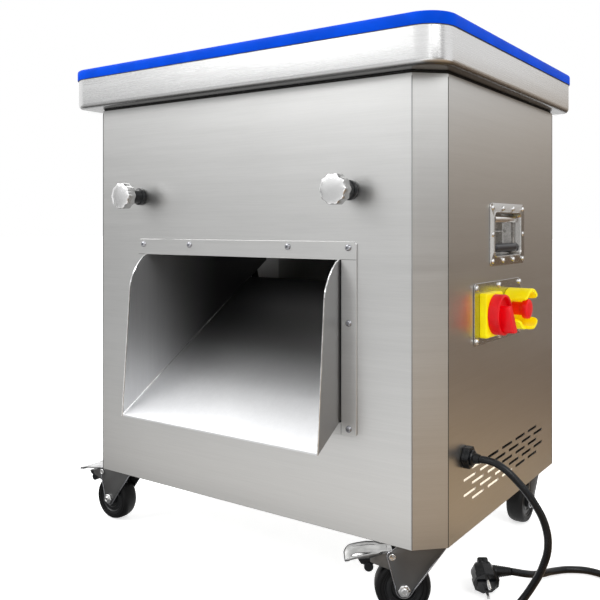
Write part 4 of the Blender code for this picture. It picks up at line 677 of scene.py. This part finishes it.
# Lift handles
def lift_handle(side, sign):
    """Pressed pocket with a raised rim and rivets, a sprung barrel at its top and a rubber grip below."""
    centre, pivot_x, pivot_z = (-0.004, 0.5042), 0.3235, 0.5267
    face = HALF_W + GAP
    front = face + SKIN
    deep = face - 0.028
    rows = [(0.097, 0.049, 0.004, deep + SKIN), (0.1000, 0.0520, 0.0055, deep + 0.0020),
            (0.1013, 0.0533, 0.0065, deep + 0.0035), (0.1106, 0.0626, 0.007, front - 0.0010),
            (0.1112, 0.0632, 0.0072, front + 0.0004), (0.1124, 0.0644, 0.0078, front + 0.0010),
            (0.1142, 0.0662, 0.0086, front + 0.0010), (0.1156, 0.0676, 0.0092, front + 0.0002),
            (0.1162, 0.0682, 0.0095, front), (0.1427, 0.0915, 0.0065, front), (0.1437, 0.0925, 0.007, front - 0.0005),
            (0.1437, 0.0925, 0.007, face), (0.114, 0.066, 0.007, face), (0.104, 0.056, 0.007, deep)]
    pocket = stacked([(rounded(a, b, r, centre, 10), x) for a, b, r, x in rows], "X")
    make(f"handle_pocket_{side}", flipped([(pocket, False)], (sign, 1, 1)), dish_steel, "cabinet",
         [f"handle_dish_{side}"], 45)
    spots = [(t * 0.0212 - 0.004, 0.5042 + s * 0.0389) for s in (-1, 1) for t in (-3, -1, 1, 3)]
    spots += [(s * 0.0637 - 0.004, 0.5042) for s in (-1, 1)]
    trim_parts = [dome(0.0038, 0.0026, "X", (front, *spot)) for spot in spots]
    trim_parts.append(rod(0.0017, "Y", (deep + 0.0075, centre[0], 0.5085), -0.046, 0.046, 12))
    make(f"handle_rivets_{side}", flipped(trim_parts, (sign, 1, 1)), chrome, "cabinet")
    barrel = turned([(0.0030, -0.0515), (0.0036, -0.0512), (0.0036, -0.0440), (0.0056, -0.0436), (0.0058, -0.0430),
                     (0.0058, 0.0430), (0.0056, 0.0436), (0.0036, 0.0440), (0.0036, 0.0512), (0.0030, 0.0515)],
                    "Y", (pivot_x, centre[0], pivot_z), 32)
    arms = [slab(rounded(0.0042, 0.047, 0.0018, (pivot_x, pivot_z - 0.0215), 3), "Y", y - 0.0018, y + 0.0018)
            for y in (centre[0] - 0.0395, centre[0] + 0.0395)]
    make(f"handle_bail_{side}", flipped([barrel, *arms], (sign, 1, 1)), chrome, f"grip_{side}",
         [f"lift_handle_{side}"])
    grip = [(0.0034, -0.0462), (0.0058, -0.0462), (0.0065, -0.0452), (0.0065, -0.0380)]
    ribs = [(0.0065 - 0.0003 * (k % 2), 0.0745 * k / 24 - 0.03725) for k in range(25)]
    grip = grip + ribs + [(r, -y) for r, y in grip[::-1]]
    make(f"handle_grip_{side}", flipped([turned(grip, "Y", (pivot_x, centre[0], 0.4837), 32)], (sign, 1, 1)),
         grip_rubber, f"grip_{side}")


# Switches
def switches():
    """Screwed plate, bevelled isolator base and drum with its wedge grip, guard arcs and mushroom button."""
    face, seat = HALF_W + GAP, HALF_W + 2 * GAP + SKIN
    outline = rounded(0.185, 0.087, 0.005, SWITCH_MIDDLE, 8)
    make("switch_backplate", [slab(outline, "X", face, face + SKIN)], dish_steel, "cabinet", ["switch_plate"])
    heads = [socket_head(0.0046, 0.0032, "X", (face + SKIN, *(SWITCH_MIDDLE + np.array([a * 0.086, b * 0.037]))))
             for a in (-1, 0, 1) for b in (-1, 1)]
    make("switch_screws", heads, chrome, "cabinet", sharp=30)
    centre = ISOLATOR_MIDDLE
    foot = seat + 0.010
    rows = [(0.063, 0.004, seat), (0.063, 0.004, foot - 0.0022), (0.0624, 0.0037, foot - 0.0010),
            (0.0612, 0.0031, foot - 0.0003), (0.0596, 0.0026, foot)]
    make("isolator_body", [(stacked([(rounded(a, a, r, centre), x) for a, r, x in rows], "X"), False)], yellow,
         "cabinet", ["isolator_base"])
    foot += GAP
    rim = foot + 0.0155
    drum = turned([(0.0285, foot), (0.029, foot + 0.0006), (0.029, rim - 0.0014), (0.0286, rim - 0.0004),
                   (0.0278, rim), (0.0262, rim), (0.0256, rim - 0.0005), (0.0252, rim - 0.0014),
                   (0.0250, foot + 0.0085), (0.0235, foot + 0.0075)], "X", (0, *centre), 72)
    shape = rounded(1, 1, 0.16, steps=5)
    rows = []
    for share, width in ((0.0, 1.0), (0.5, 0.97), (0.88, 0.93), (0.96, 0.88), (1.0, 0.76)):
        flare = 0.0062 + 0.0034 * (0.5 - shape[:, 1])
        y = centre[0] + 2 * shape[:, 0] * flare * width
        z = centre[1] - 0.00575 + shape[:, 1] * 0.0375 * (0.94 + 0.06 * width)
        height = 0.0240 - 0.0072 * (shape[:, 1] + 0.5)
        rows.append(np.stack([foot + 0.006 + share * height, y, z], -1))
    make("isolator_drum", [drum, (np.array(rows), False)], red, "isolator", ["isolator_handle"])
    guard_and_button(seat)


def guard_arc(start, end, low, high, outer=0.031, inner=0.0260):
    """Piece of the guard's tube: a rounded section carried round an arc, its far corners rounded off as circles."""
    turn = np.radians(np.linspace(start, end, int(end - start) + 1))[:, None]
    near_end = np.minimum(turn - turn[0], turn[-1] - turn) * outer
    corner = 0.0065
    drop = corner - np.sqrt(np.maximum(corner ** 2 - np.clip(corner - near_end, 0, None) ** 2, 0))
    section = rounded(outer - inner, high - low, 0.0019, ((outer + inner) / 2, (low + high) / 2), 4)
    radius = section[:, 0]
    x = low + (section[:, 1] - low) * (1 - drop / (high - low))
    return np.stack([x, radius * np.cos(turn), STOP_HEIGHT + radius * np.sin(turn)], -1), False


def guard_and_button(seat):
    """Guard ring with its three arcs, and the stem and cap of the stop button."""
    crown = seat + 0.0365
    low = seat + 0.0085
    base = turned([(0.0106, seat), (0.0306, seat), (0.031, seat + 0.0005), (0.031, seat + 0.0100),
                   (0.0302, seat + 0.0108), (0.0270, seat + 0.0108), (0.0262, seat + 0.0100),
                   (0.0262, seat + 0.0062), (0.0106, seat + 0.006)], "X", (0, 0, STOP_HEIGHT), 72, ends_meet=True)
    arcs = [guard_arc(33, 147, low, crown), guard_arc(213, 272, low, crown - 0.010), guard_arc(275, 327, low, crown)]
    make("stop_guard", [base, *arcs], yellow, "cabinet", ["estop_guard"], 30)
    stem = [(0.0098, seat + 0.005), (0.010, seat + 0.0054), (0.010, seat + 0.0205), (0.0110, seat + 0.0217),
            (0.0142, seat + 0.0226), (0.0150, seat + 0.0238), (0.0150, seat + 0.0290), (0.0145, seat + 0.0306),
            (0.0130, seat + 0.0316), (0.0092, seat + 0.0324), (0.0040, seat + 0.0328), (0.0004, seat + 0.0329)]
    make("stop_button", [turned(stem, "X", (0, 0, STOP_HEIGHT), 56)], red, "estop", ["estop_button"])


# Louvres
LOUVRE_RISE, LOUVRE_PITCH = 0.0105, 0.0575


def louvre_lips():
    """Bent lips behind the slots nearest the front: each leans inwards and up from its slot's lower edge, and carries
    a painted glow.
    """
    for side, sign in (("left", -1), ("right", 1)):
        lips = []
        for row in range(5):
            z = 0.1835 - row * LOUVRE_RISE
            columns = 5 + row % 2
            for column in range(columns):
                y = -0.0035 + (column - (columns - 1) / 2) * LOUVRE_PITCH
                if y < 0.025 * row - 0.09:
                    outline = [(0.3283, z - 0.0024), (0.3274, z - 0.0002), (0.3268, z - 0.0004), (0.3277, z - 0.0026)]
                    lips.append(slab(outline, "Y", y - 0.0205, y + 0.0205, 0.00008))
        make(f"louvre_lips_{side}", flipped(lips, (sign, 1, 1)), lip_painted_glow, "cabinet")


# Gland and plug
def gland():
    """Locking nut with six flats and a narrowing cap."""
    face, tip = HALF_W + GAP, 0.3508
    nut = turned([(0.0135, face), (0.0155, face + 0.0007), (0.0155, face + 0.0092), (0.0140, face + 0.0100)], "X",
                 (0, GLAND_END[1], GLAND_END[2]), 48, 6, 0.13)
    cap = turned([(0.0080, HALF_W - 0.012), (0.0080, face + 0.0095), (0.0106, face + 0.0099),
                  (0.0108, face + 0.0118), (0.0100, face + 0.0130), (0.0074, face + 0.0140),
                  (0.0066, tip - 0.0030), (0.0060, tip)], "X", (0, GLAND_END[1], GLAND_END[2]), 48)
    make("gland_nut", [nut, cap], black, "cabinet", ["cable_gland"], 30)


def plug():
    """Round plug with a fluted back, two pins and a ringed boot on its side."""
    turn, lean = math.radians(35), math.radians(21)
    exit_way = np.array([math.cos(turn), math.sin(turn), 0])
    pin_way = np.array([math.sin(turn) * math.cos(lean), -math.cos(turn) * math.cos(lean), -math.sin(lean)])
    axes = np.stack([exit_way, np.cross(pin_way, exit_way), pin_way])

    def placed(shells):
        return [(grid @ axes + (0.3415, -0.1175, 0.0181), ends_meet) for grid, ends_meet in shells]

    shell = turned([(0.0004, 0), (0.0180, 0), (0.019, -0.0010), (0.019, -0.0088), (0.0182, -0.0100), (0.0176, -0.0106),
                    (0.0178, -0.0190), (0.0170, -0.0250), (0.0140, -0.0296), (0.0090, -0.0320), (0.0004, -0.0320)],
                   "Z", (0, 0, 0), 9)
    block_parts = [slab(rounded(0.0260, 0.0125, 0.0015, steps=3), "Z", -0.0020, 0.0032, 0.0008),
                   slab(rounded(0.0150, 0.0330, 0.0030, (0, 0), 3), "Z", -0.0335, -0.0240, 0.0012)]
    rings = [(0.0088 - 0.0030 * k / 16 - 0.0007 * (k % 2), 0.0175 + 0.0212 * k / 16) for k in range(17)]
    boot = turned([(0.0085, 0.0057), (0.0088, 0.0165), *rings, (0.0054, 0.0390)], "X", (0, 0, -0.0224), 32)
    body = make("plug_body", placed([shell, *block_parts, boot]), cord_rubber, "cabinet", ["plug"], 25)
    pin = [(0.0024, -0.002), (0.0024, 0.0160), (0.0021, 0.0176), (0.0014, 0.0187), (0.0003, 0.0190)]
    pins = make("plug_pins", placed([turned(pin, "Z", (0, y, 0), 24) for y in (-0.0095, 0.0095)]), chrome, "cabinet")
    return [body, pins]


# Mains lead
CORD_RADIUS = 0.005
GLAND_END = (0.3511, -0.165, 0.205)
CORD_STRAIGHT = 0.012
DOWN = [
    (0.379, -0.165, 0.201), (0.404, -0.160, 0.180), (0.422, -0.155, 0.156), (0.433, -0.150, 0.131),
    (0.437, -0.150, 0.105), (0.431, -0.150, 0.078), (0.417, -0.151, 0.048), (0.401, -0.158, 0.022),
    (0.390, -0.178, 0.0085), (0.386, -0.205, 0.0055), (0.3847, -0.262, 0.0055)]
BACK = [
    (0.5313, -0.262, 0.0055), (0.532, -0.210, 0.0055), (0.529, -0.150, 0.0055), (0.522, -0.095, 0.0055),
    (0.512, -0.045, 0.0055), (0.497, -0.005, 0.0055), (0.474, 0.026, 0.0055), (0.447, 0.036, 0.0055),
    (0.418, 0.026, 0.0055), (0.398, 0.003, 0.0065), (0.389, -0.028, 0.0115), (0.381, -0.058, 0.0200)]
PLUG_END = (0.3617, -0.0778, 0.0261)
COIL_CENTRE = (0.458, -0.270)
COIL_TURN_POINTS = 24


def coil_points():
    """Two and a half turns: in from the left, one round outside, one inside, up onto both, and down to the right."""
    turn = np.radians(np.arange(195, 1065, 360 / COIL_TURN_POINTS))
    stops = np.radians([180, 270, 450, 630, 800, 900, 990, 1020, 1050, 1080])
    reach = np.interp(turn, stops, [0.0733, 0.0633, 0.0633, 0.0527, 0.0527, 0.058, 0.058, 0.0635, 0.0705, 0.0733])
    height = np.interp(turn, stops, [0, 0, 0, 0, 0, 0.0093, 0.0096, 0.0103, 0.0072, 0]) + 0.0055
    return np.column_stack((COIL_CENTRE[0] + reach * np.cos(turn), COIL_CENTRE[1] + reach * np.sin(turn), height))


def lead(pieces):
    """The whole lead as one open spline through its route, with the coil between its two stretches."""
    start = np.array(GLAND_END)
    route = np.vstack([start, start + (CORD_STRAIGHT, 0, 0), DOWN, coil_points(), BACK, PLUG_END])
    curve = bpy.data.curves.new("mains_cord", "CURVE")
    curve.dimensions = "3D"
    curve.bevel_depth = CORD_RADIUS
    curve.bevel_resolution = 5
    curve.resolution_u = 8
    curve.use_fill_caps = True
    spline = curve.splines.new("BEZIER")
    spline.bezier_points.add(len(route) - 1)
    for knot, point in zip(spline.bezier_points, route):
        knot.co = point
        knot.handle_left_type = knot.handle_right_type = "AUTO"
    curve.materials.append(cord_rubber)
    cord = bpy.data.objects.new("mains_cord", curve)
    bpy.context.scene.collection.objects.link(cord)
    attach(cord, "cabinet")
    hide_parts("cord_machine_end", "cord_coil", "cord_plug_end")


# Every piece in turn
lead(plug())
gland()
tray()
trim()
outlet()
star_knobs()
castor("front_left", -CASTOR_X, -CASTOR_Y, 180, "left")
castor("front_right", CASTOR_X, -CASTOR_Y, 215, "right")
castor("rear_left", -CASTOR_X, CASTOR_Y, -90, None)
castor("rear_right", CASTOR_X, CASTOR_Y, -90, None)
for side, sign in (("left", -1), ("right", 1)):
    lift_handle(side, sign)
switches()
louvre_lips()


# Floor, cards, light and camera
def stage_sheet(name, corners, material):
    """A flat sheet of the studio."""
    mesh = bpy.data.meshes.new(name)
    mesh.from_pydata(corners, [], [(0, 1, 2, 3)])
    mesh.materials.append(material)
    sheet = bpy.data.objects.new(name, mesh)
    bpy.context.scene.collection.objects.link(sheet)
    return sheet


def floor():
    """Pale floor that reads as plain white where no shadow falls."""
    paint = Finish("floor_paint", (0.9, 0.9, 0.9), 1.0, Specular_IOR_Level=0.0)
    path = paint.add("ShaderNodeLightPath")
    outputs = path.socket.node.outputs
    direct = Wire(paint, outputs["Is Camera Ray"]) + Wire(paint, outputs["Is Glossy Ray"])
    direct = direct + Wire(paint, outputs["Is Transmission Ray"])
    glow = paint.add("ShaderNodeEmission", {}, {"Color": (1, 1, 1, 1), "Strength": direct * FLOOR_GLOW})
    both = paint.add("ShaderNodeAddShader", {}, {0: Wire(paint, paint.shader.outputs[0]), 1: glow})
    paint.tree.links.new(both.socket, paint.tree.nodes["Material Output"].inputs["Surface"])
    reach = 30
    stage_sheet("floor", [(-reach, -reach, 0), (reach, -reach, 0), (reach, reach, 0), (-reach, reach, 0)],
                paint.material)


class Card:
    """Sheet that only reflections see; its tone is a product of ramps read from the place on it."""

    def __init__(self, name, corners):
        self.board = Finish(name, (0, 0, 0), 1.0, Specular_IOR_Level=0.0)
        self.x, self.y, self.z = (self.board.along(axis) for axis in "XYZ")
        self.name, self.corners = name, corners

    def shine(self, *ramps):
        """Product of (share, stops) ramps as the glow."""
        tone_wire = None
        for share, stops in ramps:
            shade = self.board.add("ShaderNodeValToRGB", {"stops": stops}, {0: share})
            tone_wire = shade if tone_wire is None else self.board.add(
                "ShaderNodeVectorMath", {"operation": "MULTIPLY"}, {0: tone_wire, 1: shade})
        glow = self.board.add("ShaderNodeEmission", {}, {"Color": tone_wire})
        self.board.tree.links.new(glow.socket, self.board.tree.nodes["Material Output"].inputs["Surface"])
        sheet = stage_sheet(self.name, self.corners, self.board.material)
        sheet.visible_camera = sheet.visible_shadow = sheet.visible_diffuse = False


def upright(name, centre, half_width, low, high, turn):
    """Upright card through a centre, its width along a heading in degrees."""
    way = Vector((math.cos(math.radians(turn)), math.sin(math.radians(turn)), 0)) * half_width
    a, b = Vector((*centre, 0)) - way, Vector((*centre, 0)) + way
    return Card(name, [(a.x, a.y, low), (b.x, b.y, low), (b.x, b.y, high), (a.x, a.y, high)])


def level(name, x, y, z):
    """Level card between two places along the width and two along the depth."""
    return Card(name, [(x[0], y[0], z), (x[1], y[0], z), (x[1], y[1], z), (x[0], y[1], z)])


def grey(value):
    return (value, value, value)


def fan(card):
    """Share of the way across the front, as an angle seen from the camera's mirror image in the front panel."""
    return (card.x - EYE[0]).over(card.y - EYE[1]) * 1.25 - 0.5625


def cards():
    """What the steel mirrors: a graded wall and floor in front, a warm floor and wall behind the right side."""
    across = [(0.0, grey(0.57)), (0.15, grey(0.54)), (0.66, grey(0.47)), (0.94, grey(0.31)), (1.0, grey(0.29))]
    wall = upright("front_card", (-1.6, -3.0), 3.6, 0.01, 3.4, 0)
    wall.shine((fan(wall), across),
               (wall.z * (1 / 2.4), [(0.0, grey(1.3)), (0.3, grey(1.22)), (0.5, grey(1.95)), (0.7, grey(2.05))]))
    ground = level("front_ground", (-5.2, SIDE_EDGE), (-3.0, -0.2), CARD_RISE)
    ground.shine((fan(ground), across),
                 (ground.y * -0.4, [(0.0, grey(0.1)), (0.15, grey(0.8)), (0.21, (1.85, 1.8, 1.74)),
                                    (0.4, grey(1.72)), (1.0, grey(1.3))]))
    warm = level("side_ground", (SIDE_EDGE, 3.2), (-1.4, 2.6), CARD_RISE)
    warm.shine((warm.y * 0.25 + 0.25, [(0.0, (0.46, 0.39, 0.32)), (0.2, (0.53, 0.39, 0.26)), (0.32, (0.46, 0.33, 0.2)),
                                       (0.45, (0.31, 0.22, 0.145)), (0.6, (0.21, 0.15, 0.105)),
                                       (0.9, (0.19, 0.14, 0.1))]),
               (warm.x * 5 - 1.8, [(0.0, grey(0.15)), (0.35, grey(1.0))]))
    back = upright("rear_card", (1.9, 2.6), 1.9, 0.01, 2.6, 0)
    back.shine((back.z * 0.4, [(0.0, (0.2, 0.15, 0.11)), (0.2, (0.3, 0.25, 0.205)), (0.4, (0.52, 0.46, 0.4)),
                               (0.54, grey(0.95))]))
    corner = upright("corner_card", (2.6, -1.3), 1.1, 0.01, 2.4, 90)
    corner.shine((corner.z * 0.4, [(0.0, (0.43, 0.38, 0.33)), (0.16, (0.33, 0.3, 0.27)), (0.28, grey(0.15)),
                                   (0.5, grey(0.5)), (1.0, grey(0.68))]))
    for name, place, turn in (("strip_near", (1.83, -2.25), 37), ("strip_far", (2.45, -1.0), 77)):
        strip = upright(name, place, 0.09, 0.85, 2.4, turn)
        strip.shine((strip.z, [(0.0, grey(2.6)), (1.0, grey(2.6))]))
    lid = level("upper_left_card", (-4.0, -0.9), (-2.0, 1.6), 2.6)
    lid.shine((lid.x, [(0.0, grey(2.7)), (1.0, grey(2.7))]))


def world():
    """Even white surroundings, dimmer as a light than as a background."""
    sky = bpy.data.worlds.new("studio")
    bpy.context.scene.world = sky
    sky.use_nodes = True
    tree = sky.node_tree
    path = tree.nodes.new("ShaderNodeLightPath")
    seen = path.outputs["Is Camera Ray"]
    for ray in ("Is Transmission Ray", "Is Glossy Ray"):
        either = tree.nodes.new("ShaderNodeMath")
        either.operation = "MAXIMUM"
        tree.links.new(seen, either.inputs[0])
        tree.links.new(path.outputs[ray], either.inputs[1])
        seen = either.outputs[0]
    strength = tree.nodes.new("ShaderNodeMapRange")
    strength.inputs["To Min"].default_value = WORLD_LIGHT
    tree.links.new(seen, strength.inputs["Value"])
    tree.links.new(strength.outputs[0], tree.nodes["Background"].inputs["Strength"])
    tree.nodes["Background"].inputs["Color"].default_value = (1, 1, 1, 1)


def lamp(name, place, target, width, power):
    """Square lamp turned to a target."""
    light = bpy.data.lights.new(name, "AREA")
    light.size = width
    light.energy = power
    item = bpy.data.objects.new(name, light)
    item.location = place
    item.rotation_euler = (Vector(target) - Vector(place)).to_track_quat("-Z", "Y").to_euler()
    bpy.context.scene.collection.objects.link(item)


def camera():
    """Camera at the photograph's place, level, with the picture shifted down instead of tilted."""
    lens = bpy.data.cameras.new("camera")
    lens.lens = 46.43
    lens.sensor_width = 36
    lens.shift_y = -0.123
    item = bpy.data.objects.new("camera", lens)
    item.location = (EYE[0], -EYE[1] - 2 * HALF_D, 0.5163)
    item.rotation_euler = (math.radians(90), 0, math.radians(35.06))
    bpy.context.scene.collection.objects.link(item)
    bpy.context.scene.camera = item


FLOOR_GLOW = 0.62
WORLD_LIGHT = 0.6
EYE = (0.748, 0.643)
SIDE_EDGE = 0.36
CARD_RISE = 0.0012
camera()
floor()
world()
cards()
lamp("key_lamp", (-1.6, -2.0, 2.4), (0, 0, 0.4), 1.8, 45)
lamp("top_lamp", (-0.8, 0.2, 2.8), (0, 0, 0.4), 2.2, 40)
lamp("side_lamp", (2.4, -1.2, 2.0), (0.2, 0, 0.4), 1.4, 26)
bpy.context.scene.view_settings.view_transform = "Standard"
